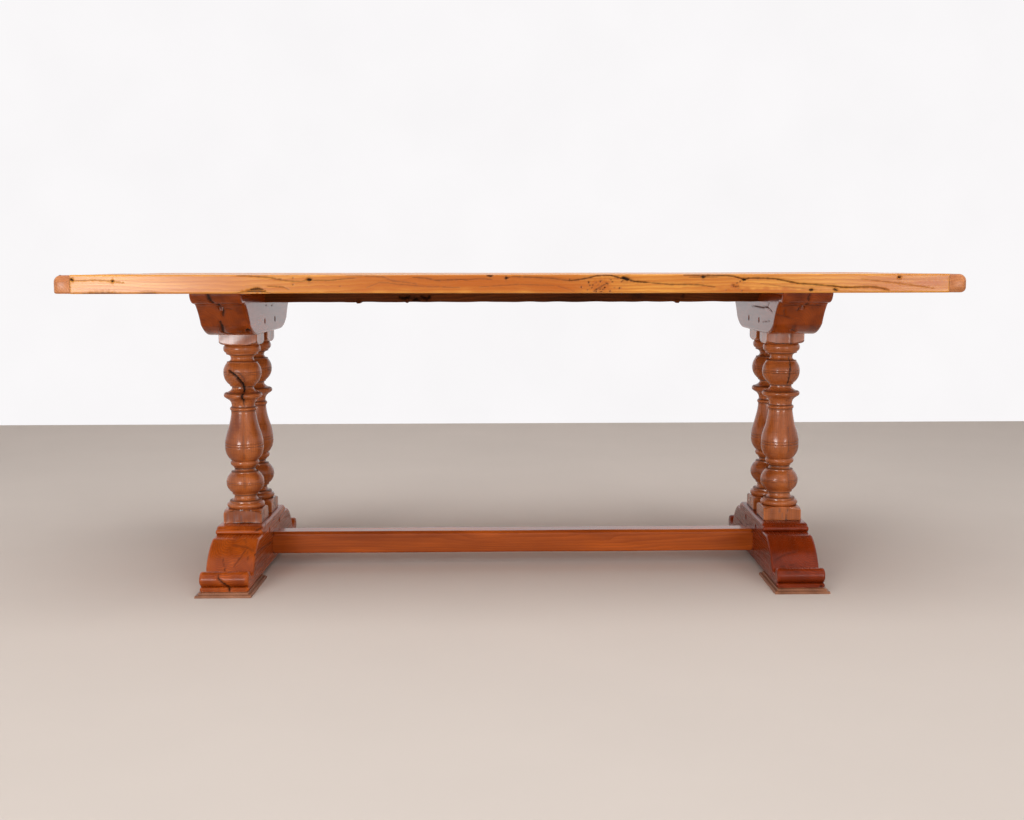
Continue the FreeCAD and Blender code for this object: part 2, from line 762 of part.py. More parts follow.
def make_pad(side, sign, end, end_sign):
    """A pad under one end of a foot, chamfered all round, with its screws sunk into the underside."""
    body = new_body(f"foot_pad_{side}_{end}")
    half_width = size("foot_thickness") * HALF_SHARE + size("pad_side_overhang")
    outer = size("foot_length") * HALF_SHARE + size("pad_front_overhang")
    inner = outer - size("pad_length")
    footprint = rectangle(-half_width, half_width, inner * end_sign, outer * end_sign)
    block = add_pad(body, new_sketch(body, "XY", [footprint]), size("pad_thickness"))

    heights = [face.CenterOfMass.z for face in block.Shape.Faces]
    chamfer = body.newObject("PartDesign::Chamfer", f"{body.Name}_chamfer")
    chamfer.Base = (block, [f"Face{heights.index(max(heights)) + 1}"])
    chamfer.ChamferType = "Two distances"
    bind(chamfer, {"Size": size("pad_chamfer_width"), "Size2": size("pad_chamfer_height")})
    doc.recompute()

    places = [y * end_sign for y in pad_screw_places()]
    shanks = [(ZERO, y, size("pad_screw_diameter") * HALF_SHARE + FIT) for y in places]
    cut_through(body, new_sketch(body, "XY", circles=shanks))
    heads = [(ZERO, y, size("pad_screw_head_diameter") * HALF_SHARE + FIT) for y in places]
    depth = size("pad_screw_sink") + size("pad_screw_head_height")
    cut_blind(body, new_sketch(body, "XY", circles=heads), depth, True)
    place(body, TRESTLE_PLACE * sign)
    return keep(body)


def make_pad_screws(side, sign):
    seat = size("pad_screw_sink") + size("pad_screw_head_height")
    screws = []
    for end, end_sign in ENDS.items():
        for number, y in enumerate(pad_screw_places(), start=1):
            screw = make_screw(f"pad_screw_{side}_{end}_{number}", size("pad_screw_diameter"),
                               size("pad_thickness") - seat + size("pad_screw_bite"),
                               size("pad_screw_head_diameter"), size("pad_screw_head_height"))
            place(screw, TRESTLE_PLACE * sign, y * end_sign, seat)
            screws.append(screw)
    return group(f"pad_screws_{side}", screws)


def wedge_places():
    return [size("stretcher_tenon_width") * (HALF_SHARE * share) for share in WEDGE_PLACE_SHARES]


def make_stretcher():
    """The stretcher between the feet, with wedged tenons that end flush with their outer faces."""
    body = new_body("stretcher")
    half_width = size("stretcher_width") * HALF_SHARE
    height = size("stretcher_height")
    top = size("stretcher_top_chamfer")
    under = size("stretcher_under_chamfer")
    edge = [
        (half_width - under, ZERO),
        (half_width, under),
        (half_width, height - top),
        (half_width - top, height),
    ]
    span = size("trestle_spacing") - size("foot_thickness")
    add_pad(body, new_sketch(body, "YZ", [edge + mirrored_run(edge)]), span, symmetric=True)

    half_tenon = size("stretcher_tenon_width") * HALF_SHARE
    bottom = (height - size("stretcher_tenon_height")) * HALF_SHARE
    tenon = rectangle(-half_tenon, half_tenon, bottom, bottom + size("stretcher_tenon_height"))
    reach = size("trestle_spacing") + size("foot_thickness")
    add_pad(body, new_sketch(body, "YZ", [tenon]), reach, symmetric=True)

    slots = []
    wide = size("wedge_thickness") * HALF_SHARE + FIT
    narrow = size("wedge_tip_thickness") * HALF_SHARE + FIT
    for sign in SIDES.values():
        outer = reach * (HALF_SHARE * sign)
        tip = outer - (size("wedge_length") + FIT) * sign
        for y in wedge_places():
            slots.append([(tip, y - narrow), (outer, y - wide), (outer, y + wide), (tip, y + narrow)])
    cut_through(body, new_sketch(body, "XY", slots))
    place(body, z=STRETCHER_BOTTOM)
    return keep(body)


def make_wedges(side, sign):
    """The two wedges in one tenon of the stretcher, thin end inwards."""
    outer = TRESTLE_PLACE + size("foot_thickness") * HALF_SHARE
    rise = (size("stretcher_height") - size("stretcher_tenon_height")) * HALF_SHARE
    wedges = []
    for number, y in enumerate(wedge_places(), start=1):
        wedge = doc.addObject("Part::Wedge", f"stretcher_wedge_{side}_{number}")
        wide = size("wedge_thickness") * HALF_SHARE
        narrow = size("wedge_tip_thickness") * HALF_SHARE
        bind(wedge, {
            "Xmin": -narrow, "Xmax": narrow, "X2min": -wide, "X2max": wide,
            "Ymin": ZERO, "Ymax": size("wedge_length"),
            "Zmin": ZERO, "Zmax": size("stretcher_tenon_height"),
            "Z2min": ZERO, "Z2max": size("stretcher_tenon_height"),
        })
        turn = FreeCAD.Rotation(FreeCAD.Vector(0, 0, 1), -90 * sign)
        wedge.Placement = FreeCAD.Placement(FreeCAD.Vector(), turn)
        place(wedge, (outer - size("wedge_length")) * sign, y, STRETCHER_BOTTOM + rise)
        wedges.append(wedge)
    return group(f"stretcher_wedges_{side}", wedges)


def make_rail():
    """The thin board under the top, let into the bolsters at both ends."""
    body = new_body("top_rail")
    half_width = size("rail_width") * HALF_SHARE
    plan = rectangle(-RAIL_END, RAIL_END, -half_width, half_width)
    add_pad(body, new_sketch(body, "XY", [plan]), size("rail_thickness"))
    radius = size("rail_dowel_diameter") * HALF_SHARE + FIT
    holes = [(RAIL_DOWEL_PLACE * sign, ZERO, radius) for sign in SIDES.values()]
    cut_through(body, new_sketch(body, "XY", circles=holes))
    place(body, z=TOP_UNDERSIDE - size("rail_thickness"))
    return keep(body)


def make_rail_dowels():
    length = size("rail_thickness") + size("rail_dowel_depth") - FIT
    dowels = []
    for side, sign in SIDES.items():
        dowel = cylinder(f"rail_dowel_{side}", size("rail_dowel_diameter") * HALF_SHARE, length)
        place(dowel, RAIL_DOWEL_PLACE * sign, z=TOP_UNDERSIDE - length)
        dowels.append(dowel)
    return group("rail_dowels", dowels)


def make_top():
    edges = board_edges()
    peg_places = [(front + rear) * HALF_SHARE for front, rear in edges]
    for number, (front, rear) in enumerate(edges):
        make_board(number, front, rear)
    for number, (front, rear) in enumerate(edges[:-1], start=1):
        make_spline(number, rear)
    for side, sign in SIDES.items():
        make_breadboard(side, sign, peg_places)
        make_breadboard_pegs(side, sign, peg_places)


def make_trestle(side, sign):
    make_bolster(side, sign)
    make_top_screws(side, sign)
    make_foot(side, sign)
    make_pad_screws(side, sign)
    for end, end_sign in ENDS.items():
        make_baluster(side, sign, end, end_sign)
        make_pad(side, sign, end, end_sign)
    x = TRESTLE_PLACE * sign
    bolster_peg_height = BOLSTER_BOTTOM + size("bolster_peg_rise")
    foot_peg_height = FOOT_TOP - size("foot_peg_drop")
    make_trestle_pegs(f"bolster_pegs_{side}", x, bolster_peg_height, size("bolster_thickness"))
    make_trestle_pegs(f"foot_pegs_{side}", x, foot_peg_height, size("foot_thickness"))
    make_wedges(side, sign)


def check_document():
    for thing in doc.Objects:
        if "Invalid" in thing.State or "Error" in thing.State:
            raise RuntimeError(f"{thing.Label} failed: {thing.State}")
    for subpart in subparts:
        if subpart.Shape.isNull() or not subpart.Shape.isValid():
            raise RuntimeError(f"{subpart.Label} has no valid shape")


make_top()
for side_name, side_sign in SIDES.items():
    make_trestle(side_name, side_sign)
make_stretcher()
make_rail()
make_rail_dowels()
doc.recompute()
check_document()

os.makedirs("parts", exist_ok=True)
for subpart in subparts:
    subpart.Shape.exportStep(f"parts/{subpart.Label}.step")
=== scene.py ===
import math
import random

import bmesh
import bpy
import numpy as np
from mathutils import Matrix, Vector


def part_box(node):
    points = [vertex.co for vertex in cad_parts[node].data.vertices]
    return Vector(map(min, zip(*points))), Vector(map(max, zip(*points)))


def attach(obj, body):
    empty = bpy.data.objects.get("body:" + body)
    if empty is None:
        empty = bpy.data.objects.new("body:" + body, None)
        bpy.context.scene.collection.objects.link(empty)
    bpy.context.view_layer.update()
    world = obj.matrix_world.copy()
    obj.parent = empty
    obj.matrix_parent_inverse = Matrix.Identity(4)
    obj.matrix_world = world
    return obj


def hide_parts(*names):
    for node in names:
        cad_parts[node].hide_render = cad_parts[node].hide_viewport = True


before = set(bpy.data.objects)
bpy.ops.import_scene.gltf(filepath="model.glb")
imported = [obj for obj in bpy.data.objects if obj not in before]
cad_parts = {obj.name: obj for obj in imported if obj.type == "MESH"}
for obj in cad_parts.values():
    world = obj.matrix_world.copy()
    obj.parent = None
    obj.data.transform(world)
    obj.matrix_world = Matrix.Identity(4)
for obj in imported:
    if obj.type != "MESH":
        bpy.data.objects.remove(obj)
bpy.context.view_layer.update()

bl_info = {
    "name": "Trestle dining table",
    "version": (1, 0, 0),
    "blender": (4, 5, 0),
    "location": "View3D > Sidebar > Table",
    "description": "Dresses a trestle dining table in worn, waxed wood",
    "category": "Object",
}

MM = 0.001
SIGNS = {"left": -1, "right": 1}
BOARDS = ("front", "mid_front", "middle", "mid_rear", "rear")
# Two places closer than this are the same.
TOUCH = 1e-6

# Each outline row is a point. A row of four ends in the middle of the arc to the next point.
# End of a bolster: in from the end as a share of its length, then down as a share of the height.
BOLSTER_END_LENGTH = 200 * MM
BOLSTER_END_SHARES = (
    (0.980, 1.000, 0.746, 0.938),
    (0.530, 0.757, 0.420, 0.509),
    (0.280, 0.294),
    (0.250, 0.280),
    (0.235, 0.248),
    (0.170, 0.238, 0.055, 0.192),
    (0.005, 0.084),
    (0.000, 0.000),
)

# End of a foot: in from the end as a share of the toe's length, then up as a share of the height.
FOOT_HALF_LENGTH = 355 * MM
TOE_LENGTH = 212 * MM
FOOT_END_SHARES = (
    (0.024, 0.000),
    (0.024, 0.076),
    (0.054, 0.094, 0.025, 0.342),
    (0.165, 0.286, 0.245, 0.218),
    (0.340, 0.311, 0.472, 0.605),
    (0.698, 0.832),
    (0.896, 0.840, 0.875, 0.895),
    (0.899, 0.950),
    (0.929, 0.954),
    (0.939, 0.975, 0.969, 0.9935),
    (1.000, 1.000),
)

# Turned part of a baluster: out as a share of its radius, up as a share of the turned length.
TURNING_RADIUS = 48 * MM
TURNING_SHARES = (
    (0.854, 0.0000, 0.992, 0.0180),
    (0.844, 0.0360),
    (0.833, 0.0465),
    (0.760, 0.0477, 0.638, 0.0554),
    (0.596, 0.0680),
    (0.600, 0.0811),
    (0.692, 0.0835),
    (0.708, 0.0931, 0.996, 0.1563),
    (0.729, 0.2172),
    (0.721, 0.2243),
    (0.617, 0.2267, 0.554, 0.2351),
    (0.538, 0.2434),
    (0.592, 0.2494),
    (0.633, 0.2578, 0.754, 0.2757),
    (0.700, 0.2924, 0.921, 0.3270),
    (1.000, 0.3866, 0.954, 0.4368),
    (0.838, 0.4797, 0.721, 0.5298),
    (0.638, 0.5871),
    (0.642, 0.5990, 0.700, 0.6093),
    (0.642, 0.6196),
    (0.617, 0.6210, 0.635, 0.6468),
    (0.763, 0.6659),
    (0.940, 0.6795, 1.000, 0.6925),
    (0.945, 0.7050),
    (0.905, 0.7075, 0.705, 0.7170),
    (0.575, 0.7315),
    (0.571, 0.7446),
    (0.654, 0.7477),
    (0.671, 0.7554, 0.996, 0.8258),
    (0.808, 0.8890),
    (0.796, 0.8962),
    (0.717, 0.8981, 0.596, 0.9153),
    (0.760, 0.9391),
    (0.829, 0.9415),
    (0.838, 0.9499, 0.975, 0.9749),
    (0.865, 1.0000),
)
BLOCK_WIDTH = 96 * MM
BOTTOM_BLOCK = 35 * MM
TOP_BLOCK = 29 * MM
BLOCK_ARRIS = 1.6 * MM
BLOCK_CORNER_FALL = 9 * MM
TENON_RADIUS = 25 * MM
# Lines that the turner scored around the balusters, by their heights above the floor.
SCORE_HEIGHTS = (228 * MM, 232 * MM, 324 * MM, 331 * MM, 509 * MM, 514 * MM)
SCORE_HALF_WIDTH = 0.9 * MM
SCORE_DEPTH = 0.6 * MM
# Creases between the turned members, where dark wax gathers and painted shade is laid, as shares of the
# turned length.
CREASE_SHARES = (0.0470, 0.0823, 0.2255, 0.2464, 0.5965, 0.6203, 0.7060, 0.7462, 0.8972, 0.9403)
CREASE_HALF_WIDTH = 3 * MM

# Joinery, cut as it is drawn, and how far a cutter runs past what it cuts.
OVERRUN = 5 * MM
OVERLAP = 1 * MM
TONGUE_STOP = 28 * MM
TONGUE_LOW = 14 * MM
TONGUE_HIGH = 28 * MM
TONGUE_ROOT = 0.2 * MM
TONGUE_CLEARANCE = 0.2 * MM
TONGUE_GROOVE_DEPTH = 18.2 * MM
TONGUE_GROOVE_HALF = 7.2 * MM
SPLINE_GROOVE_DEPTH = 19.2 * MM
SPLINE_GROOVE_HALF = 4.7 * MM
END_PEG_INSET = 9 * MM
END_PEG_RADIUS = 4.7 * MM
BALUSTER_PLACES = (-71 * MM, 71 * MM)
MORTISE_RADIUS = 25.2 * MM
BOLSTER_MORTISE = 66 * MM
FOOT_MORTISE = 70 * MM
CROSS_PEG_RADIUS = 8.2 * MM
BOLSTER_PEG_RISE = 30 * MM
FOOT_PEG_DROP = 27 * MM
COUNTERBORE_RADIUS = 7.5 * MM
COUNTERBORE_ROOF = 18 * MM
COUNTERBORE_SHARES = (-0.82, -0.50, 0.0, 0.50, 0.82)
RAIL_CLEARANCE = 0.2 * MM
RAIL_SLOT_REACH = 80 * MM
STRETCHER_TENON_ROOT = 0.5 * MM
STRETCHER_TENON = (17 * MM, 19.5 * MM)
STRETCHER_MORTISE = (17.2 * MM, 19.7 * MM)
WEDGE_PLACES = (-8.5 * MM, 8.5 * MM)
WEDGE_SLOT_LENGTH = 60.2 * MM
WEDGE_SLOT_HALF = 2.7 * MM
WEDGE_SLOT_HEIGHT = 30 * MM
WEDGE_TAPER_SHARE = 0.35

# How finely the pieces are cut, so that wear can follow them.
FRONT_BOARD_STEP = 2.4 * MM
BOARD_STEP = 3.6 * MM
BOARD_CELL = 1.8 * MM
BOARD_UNDER_CELL = 18 * MM
CHECK_MARGIN = 8 * MM
BREADBOARD_CELLS = (3 * MM, 5 * MM, 3.4 * MM)
BEAM_STEPS = 34
BEAM_CELLS = (0.0, 10 * MM, 2.6 * MM)
PROFILE_STEP = 1.9 * MM
TURNING_STEPS = 112
BLOCK_CUTS = 27
PAD_CELLS = (6 * MM, 6 * MM, 0.0)
STRETCHER_STEPS = 360
RAIL_STEPS = 380
# A face with more corners than this is the flat end of a sweep.
FEW_CORNERS = 8

# Wood tones by piece, light and dark.
TONES = {
    "top": ("#F5AE4E", "#BA5F1E"),
    "breadboard": ("#D88E58", "#9C5226"),
    "bolster": ("#AE4E0E", "#602405"),
    "left_foot": ("#C65E1A", "#762D0D"),
    "right_foot": ("#98360D", "#561904"),
    "turned": ("#C87239", "#7C3A1A"),
    "stretcher": ("#C45D1B", "#7E330C"),
    "rail": ("#7C4014", "#381A06"),
    "pad": ("#A8704F", "#5E3420"),
    "peg": ("#5E3118", "#2E160B"),
}

# Finish of each wood: growth rings in millimetres, roughness under the wax, strength of the figure and
# of the lathe's lines, and how much the wax shines.
FINISHES = {
    "top": {"ring_mm": 6.5, "gloss": 0.26, "figure": 1.4},
    "breadboard": {"ring_mm": 6.0, "gloss": 0.36, "wax": 0.8},
    "bolster": {"ring_mm": 5.0, "gloss": 0.18},
    "foot": {"ring_mm": 4.2, "gloss": 0.26, "figure": 1.7},
    "turned": {"ring_mm": 5.5, "gloss": 0.22, "figure": 0.6, "lathe": 0.3, "wax": 0.85},
    "stretcher": {"ring_mm": 6.0, "gloss": 0.18, "wax": 0.75},
    "rail": {"ring_mm": 7.0, "gloss": 0.6, "figure": 1.3, "wax": 0.1},
    "pad": {"ring_mm": 4.0, "gloss": 0.42},
    "peg": {"ring_mm": 2.5, "gloss": 0.5},
}
# Where the heart of the log lies, by wood, in the pattern's own frame and in metres.
HEARTS = {
    "turned": (0.02, 0.03, 0.0),
    "stretcher": (0.10, 0.05, 0.0),
    "rail": (0.75, 0.0, 0.0),
    "pad": (0.1, 0.1, 0.0),
    "peg": (0.01, 0.01, 0.0),
}
# Shortest and longest waves of each wood's unevenness, in metres.
WAVELENGTHS = {
    "top": (0.25, 0.9),
    "breadboard": (0.10, 0.4),
    "bolster": (0.16, 0.5),
    "foot": (0.16, 0.5),
    "turned": (0.03, 0.2),
    "stretcher": (0.08, 0.5),
    "rail": (0.012, 0.05),
    "pad": (0.03, 0.12),
}

# Lamps: what each is, its power, size, place and aim. The lamps light the wood softly. The two low
# cards only show as a sheen on upright surfaces: they stand lower than the top, so that it never
# mirrors them.
LAMPS = {
    "overhead": ("soft lamp overhead", 92.0, (5.0, 3.5), (0.0, -1.2, 3.6), (0.0, 0.0, 0.4)),
    "window": ("tall soft lamp at the front left", 79.0, (1.6, 2.2), (-2.35, -4.6, 1.6), (0.0, 0.0, 0.5)),
    "fill": ("small soft lamp at the front right", 38.0, (1.2, 1.8), (2.3, -4.4, 1.5), (0.0, 0.0, 0.5)),
    "window_card": ("low card at the front left", 90.0, (1.25, 0.5), (-2.35, -4.6, 0.48), (-0.8, -0.45, 0.5)),
    "fill_card": ("low card at the front right", 30.0, (0.7, 0.5), (2.3, -4.4, 0.48), (0.8, -0.45, 0.5)),
}
ROOM_LIGHT = ((0.97, 0.98, 1.0, 1.0), 0.45)
STAGE_HALF = 9.0
BACKDROP_PLACE = (0, 3.07, 4.5)

# The camera at the photograph's angle: its place in metres and its turns in radians.
CAMERA_PLACE = (-0.00687, -3.4012, 0.78078)
CAMERA_YAW = -0.02404
CAMERA_DIP = 0.11002
CAMERA_ROLL = -0.00116
CAMERA_LENS = 45.795
CAMERA_SENSOR = 36.0
CAMERA_SHIFT = -0.02908

# Checks, knots and dents, by the side that they are seen from: half width and depth, then the points
# that they run through, across and up in turn, all in millimetres. A depth of 0 is a stain, one below
# 0 a lump.
MARKS = {
    "top_board_front": {"front": (
        (1.4, 0.3, -983, 749, -934, 751, -896, 748, -870, 745),
        (1.7, 0.7, -620, 760, -597, 760, -573, 758, -557, 757, -520, 752),
        (1.5, 0.6, -537, 752, -490, 747, -475, 747, -460, 750),
        (1.5, 0.6, -460, 750, -445, 750, -413, 749, -377, 753, -351, 755),
        (1.4, 0.6, -553, 737, -517, 735, -502, 728),
        (1.6, 0.4, -376, 760, -351, 760, -326, 759, -293, 757, -271, 748, -242, 745, -217, 741),
        (1.7, 0.65, -227, 756, -198, 754, -173, 749, -147, 750, -118, 751, -103, 750),
        (1.5, 0.5, -118, 751, -103, 750, -78, 753, -48, 751),
        (1.7, 0.75, -16, 754, -1, 757, 32, 756, 89, 753, 126, 748, 148, 750),
        (2.2, 1.2, 126, 748, 148, 750, 174, 755, 188, 759, 203, 760, 221, 760),
        (2.4, 1.6, 203, 761, 221, 760, 240, 754, 256, 752, 273, 746, 302, 744),
        (1.8, 0.9, 273, 746, 302, 744, 331, 741, 354, 739, 394, 739, 423, 738, 457, 733),
        (1.9, 0.8, 181, 723, 185, 726, 203, 737, 212, 742),
        (2.2, 1.2, 386, 760, 427, 760, 485, 759, 500, 757, 523, 750, 533, 753),
        (2.2, 1.2, 500, 757, 523, 750, 533, 753, 559, 753, 592, 752, 621, 746, 647, 741),
        (2.1, 1.2, 592, 752, 621, 746, 647, 741, 688, 738, 725, 735, 747, 732, 773, 732),
        (2.0, 1.0, 725, 735, 747, 732, 773, 732, 795, 733, 817, 733, 836, 730, 854, 725),
        (1.6, 0.7, 398, 756, 430, 756, 462, 756),
        (1.5, 0.25, -75, 734, 12, 740, 99, 737, 138, 724),
        (1.5, 0.25, 790, 751, 870, 742, 956, 730),
        (1.5, 0.25, -330, 733, -300, 745, -240, 739, -190, 735, -120, 733),
        (1.5, 0.25, 560, 741, 640, 731, 700, 726),
        (3.6, 2.5, -990, 754, -985, 749),
        (3.4, 2.5, -899, 748, -894, 748),
        (4.4, 3.5, -464, 751, -454, 751),
        (3.6, 2.5, -58, 760, -47, 759),
        (4.0, 2.8, -18, 754, -13, 754),
        (5.6, 3.5, 246, 754, 256, 752, 262, 751),
        (3.8, 2.0, 426, 756, 434, 756),
        (4.0, 2.2, 519, 750, 526, 750),
        (3.8, 2.5, 873, 755, 879, 755),
        (2.2, 0.8, -496, 740, -494, 740),
        (2.0, 0.8, -495, 755, -493, 755),
        (2.0, 0.8, -391, 736, -389, 736),
        (6.5, 4.5, -618, 718, -594, 723, -574, 725, -560, 722, -548, 718),
        (3.4, 1.5, -590, 729, -574, 731, -562, 729),
        (4.2, 2.2, 672, 727, 680, 726),
        (4.2, 2.2, 727, 728, 736, 725),
        (3.0, 2.0, -960, 719, -930, 720, -905, 720, -880, 719),
        (3.0, 1.6, -840, 719, -815, 720, -795, 719),
        (1.5, 0.25, -991, 722, -991, 760),
        (1.5, 0.25, 991, 722, 991, 760),
        (22.0, 0.0, 165, 740, 230, 738),
        (12.0, 0.0, 488, 735, 514, 733),
        (46.0, 0.0, -560, 744, -120, 748, 330, 744),
        (14.0, 0.0, 420, 722, 700, 720),
        (10.0, 0.0, 905, 742, 985, 742),
    ), "over": (
        (2.8, 1.5, 200, -449, 209, -438, 232, -431, 262, -428, 298, -432, 330, -431, 362, -426, 400, -424),
        (2.6, 1.2, 480, -448, 508, -442, 540, -440, 588, -435, 640, -437, 702, -442, 760, -441, 812, -436,
         860, -434),
        (7.0, 1.2, -462, -380, -450, -379),
        (20.0, 0.0, -520, -382, -450, -378, -390, -380),
        (2.2, 0.9, -440, -379, -392, -375, -340, -374, -276, -379, -220, -378),
        (24.0, 0.0, 150, -430, 235, -420, 330, -428),
    )},
    "top_board_mid_front": {"over": (
        (2.6, 1.0, -985, -205, -946, -202, -900, -203, -842, -208, -790, -207, -738, -203, -690, -204),
        (6.5, 1.2, 388, -160, 398, -159),
        (19.0, 0.0, 330, -162, 393, -160, 460, -161),
    )},
    "top_board_middle": {"over": (
        (2.8, 1.2, 985, 14, 930, 10, 880, 12, 820, 17, 760, 16, 684, 11, 600, 13),
        (2.2, 0.9, -420, -46, -366, -42, -300, -43, -212, -49, -130, -48),
        (7.5, 1.4, -712, 38, -700, 40),
        (22.0, 0.0, -780, 38, -705, 40, -630, 37),
    )},
    "top_board_mid_rear": {"over": (
        (2.4, 1.0, -300, 214, -226, 219, -140, 217, -46, 211, 40, 212, 118, 216, 190, 215),
        (6.5, 1.2, 640, 150, 652, 151),
        (18.0, 0.0, 580, 151, 646, 150, 715, 152),
    )},
    "top_board_rear": {"over": (
        (2.6, 1.0, 985, 372, 920, 377, 850, 376, 772, 370, 700, 371),
        (2.8, 1.2, -985, 402, -926, 397, -860, 399, -778, 405, -700, 404, -628, 399, -560, 400),
        (6.5, 1.2, 118, 330, 128, 331),
        (20.0, 0.0, 60, 331, 123, 330, 190, 332),
    )},
    "breadboard_left": {"front": (
        (1.5, 0.25, -991, 722, -991, 760),
    )},
    "breadboard_right": {"front": (
        (1.5, 0.25, 991, 722, 991, 760),
    )},
    "baluster_left_front": {"front": (
        (4.6, 5.0, -717, 521, -705, 513, -696, 505, -689, 495, -682, 486),
        (4.4, 5.0, -692, 499, -683, 485, -680, 474, -681, 466),
        (2.0, 0.9, -700, 518, -690, 515, -680, 505, -676, 495, -680, 489),
        (1.6, 0.6, -704, 510, -696, 497, -688, 488),
        (5.0, 4.0, -682, 462, -684, 450, -682, 440),
        (2.2, 1.2, -679, 448, -683, 436, -682, 428),
        (20.0, 0.0, -694, 520, -684, 488, -682, 440),
        (11.0, 0.0, -700, 420, -700, 360),
        (24.0, 0.0, -752, 148, -690, 150, -628, 148),
        (1.6, 0.4, -682, 380, -682, 359, -683, 306, -683, 290),
        (1.5, 0.5, -684, 252, -682, 220),
        (1.6, 0.5, -712, 162, -711, 134),
        (1.5, 0.4, -668, 160, -668, 133),
        (1.5, 0.5, -727, 158, -727, 132),
        (1.6, 0.4, -702, 162, -703, 140),
        (1.5, 0.5, -694, 152, -694, 132),
        (1.6, 0.4, -682, 161, -681, 136),
        (1.5, 0.3, -655, 158, -655, 134),
    )},
    "baluster_right_front": {"front": (
        (2.6, 2.0, 704, 548, 705, 538, 704, 514, 701, 495, 701, 480),
        (1.8, 0.9, 703, 612, 705, 598, 704, 583),
        (1.8, 0.9, 706, 165, 702, 150, 700, 132),
        (1.6, 0.5, 684, 163, 682, 150),
        (1.5, 0.4, 662, 160, 660, 138),
        (1.5, 0.3, 716, 161, 715, 134),
        (1.5, 0.3, 690, 150, 689, 133),
        (1.5, 0.6, 703, 370, 704, 340, 703, 305),
        (1.5, 0.4, 704, 250, 706, 215),
    )},
    "foot_left": {"front": (
        (1.9, 1.0, -655, 95, -664, 80, -671, 70, -681, 56),
        (1.7, 0.7, -711, 80, -709, 70, -701, 46),
        (1.7, 0.7, -658, 97, -648, 92, -636, 87),
        (1.6, 0.7, -690, 99, -675, 97, -656, 95),
        (1.5, 0.5, -657, 96, -663, 106, -672, 110),
        (1.5, 0.5, -655, 94, -650, 76, -648, 66),
        (3.0, 3.2, -703, 47, -698, 40, -692, 33, -684, 26, -678, 20, -678, 12),
        (2.2, 1.5, -634, 127, -642, 124, -650, 120),
    ), "right": (
        (2.0, 1.5, -270, 80, -200, 79, -140, 75, -50, 67),
        (1.8, 1.2, -150, 118, -120, 127, -106, 131),
        (1.6, 0.8, 150, 92, 230, 84),
    )},
    "foot_right": {"front": (
        (1.6, 0.5, 640, 62, 668, 74, 700, 80),
        (1.6, 0.5, 655, 48, 690, 52),
        (2.4, 2.0, 736, 14, 741, 14),
    ), "left": (
        (1.7, 1.0, -190, 88, -120, 95),
        (1.7, 0.8, 90, 70, 210, 74),
    )},
    "bolster_left": {"front": (
        (5.5, 2.0, -706, 719, -703, 705, -698, 698),
        (4.5, 2.0, -702, 700, -691, 690, -686, 676, -690, 664),
        (2.0, 0.8, -690, 690, -678, 683, -664, 680),
        (4.8, 2.0, -700, 650, -698, 636, -703, 622),
        (2.2, 1.0, -708, 626, -694, 618, -676, 616),
        (6.0, 6.0, -636, 628, -646, 624),
    ), "right": (
        (1.8, 1.2, -60, 681, -30, 684),
        (1.8, 1.2, 20, 679, 50, 682),
    )},
    "bolster_right": {"front": (
        (3.6, 1.5, 694, 716, 690, 706, 694, 698),
        (3.2, 1.5, 704, 692, 695, 688, 686, 682, 681, 674),
        (1.8, 0.7, 640, 684, 660, 687, 700, 687, 730, 687),
        (1.8, 0.7, 634, 664, 658, 658, 676, 653),
        (4.0, 1.0, 678, 626, 690, 622),
        (9.0, 0.0, 676, 640, 688, 628),
        (2.0, 0.8, 648, 676, 652, 664),
    ), "left": (
        (2.0, 1.5, 30, 675, -60, 677, -110, 676, -180, 680, -250, 668),
        (1.6, 1.0, -180, 680, -200, 690),
        (1.5, 0.8, -120, 640, -210, 646),
    )},
    "stretcher": {"front": (
        (3.2, 0.9, -628, 71, -540, 70, -450, 70, -340, 69, -180, 70),
        # The two upright lines at the shoulders are painted shadow in the gap where the stretcher meets each
        # foot.
        (4.5, 0.9, -631, 34, -631, 87),
        (4.0, 0.5, 631, 34, 631, 87),
        (3.2, 1.0, 556, 66, 561, 65),
        (2.4, 0.8, -564, 52, -560, 52),
        (1.8, 0.4, 120, 52, 320, 54, 480, 53),
    )},
    "top_rail": {"front": (
        (7.0, -4.0, 416, 690, 424, 690),
        (6.0, -3.5, -397, 690, -388, 690),
        (3.5, -2.5, -271, 690, -267, 690),
        (5.0, 2.5, -290, 703, -276, 700, -262, 704),
        (4.0, 2.5, -256, 694, -246, 698, -238, 692),
        (5.0, 3.0, -232, 704, -220, 698, -210, 706),
        (8.0, 0.0, -290, 700, -205, 700),
        (9.0, 0.0, 296, 705, 338, 703),
        (6.0, 0.0, 434, 712, 436, 696),
    )},
}
# Worm holes in the front edge: the middle of each cluster, its half width and height, and how many.
WORM_CLUSTERS = ((196, 737, 44, 14, 34), (501, 735, 16, 11, 10))
WORM_HOLE_DEPTH = 2 * MM
WORM_HOLE_HALF_LENGTH = 0.5 * MM

# The axis that a seen side faces along, and which way.
SIDES = {"front": (1, -1.0), "left": (0, -1.0), "right": (0, 1.0), "over": (2, 1.0)}
# Waves that add up to the unevenness of handwork.
WAVES = 7
# A check this deep is painted black inside as shade, and one wider than this is open to the light and gets
# half as much painted shade.
BLACK_DEPTH = 2 * MM
OPEN_HALF_WIDTH = 6 * MM
# Bends of about this radius count as arrises, paler with wear and a painted highlight, or as creases, darker
# with dark wax and painted shade.
RELIEF_RADIUS = 0.009
SMOOTH_ANGLE = math.radians(42)

# Turns that lay the grain of a piece along the pattern's own Z, by the way that its fibres run.
GRAIN_TURNS = {"X": (0.0, -math.pi / 2, 0.0), "Y": (math.pi / 2, 0.0, 0.0), "Z": (0.0, 0.0, 0.0)}
# The wave pattern repeats after this many of its own units.
WAVE_PERIOD = 0.314


def linear(code):
    """Linear colour from an sRGB hex value."""
    channels = [int(code[start:start + 2], 16) / 255.0 for start in (1, 3, 5)]
    return tuple(c / 12.92 if c <= 0.04045 else ((c + 0.055) / 1.055) ** 2.4 for c in channels)


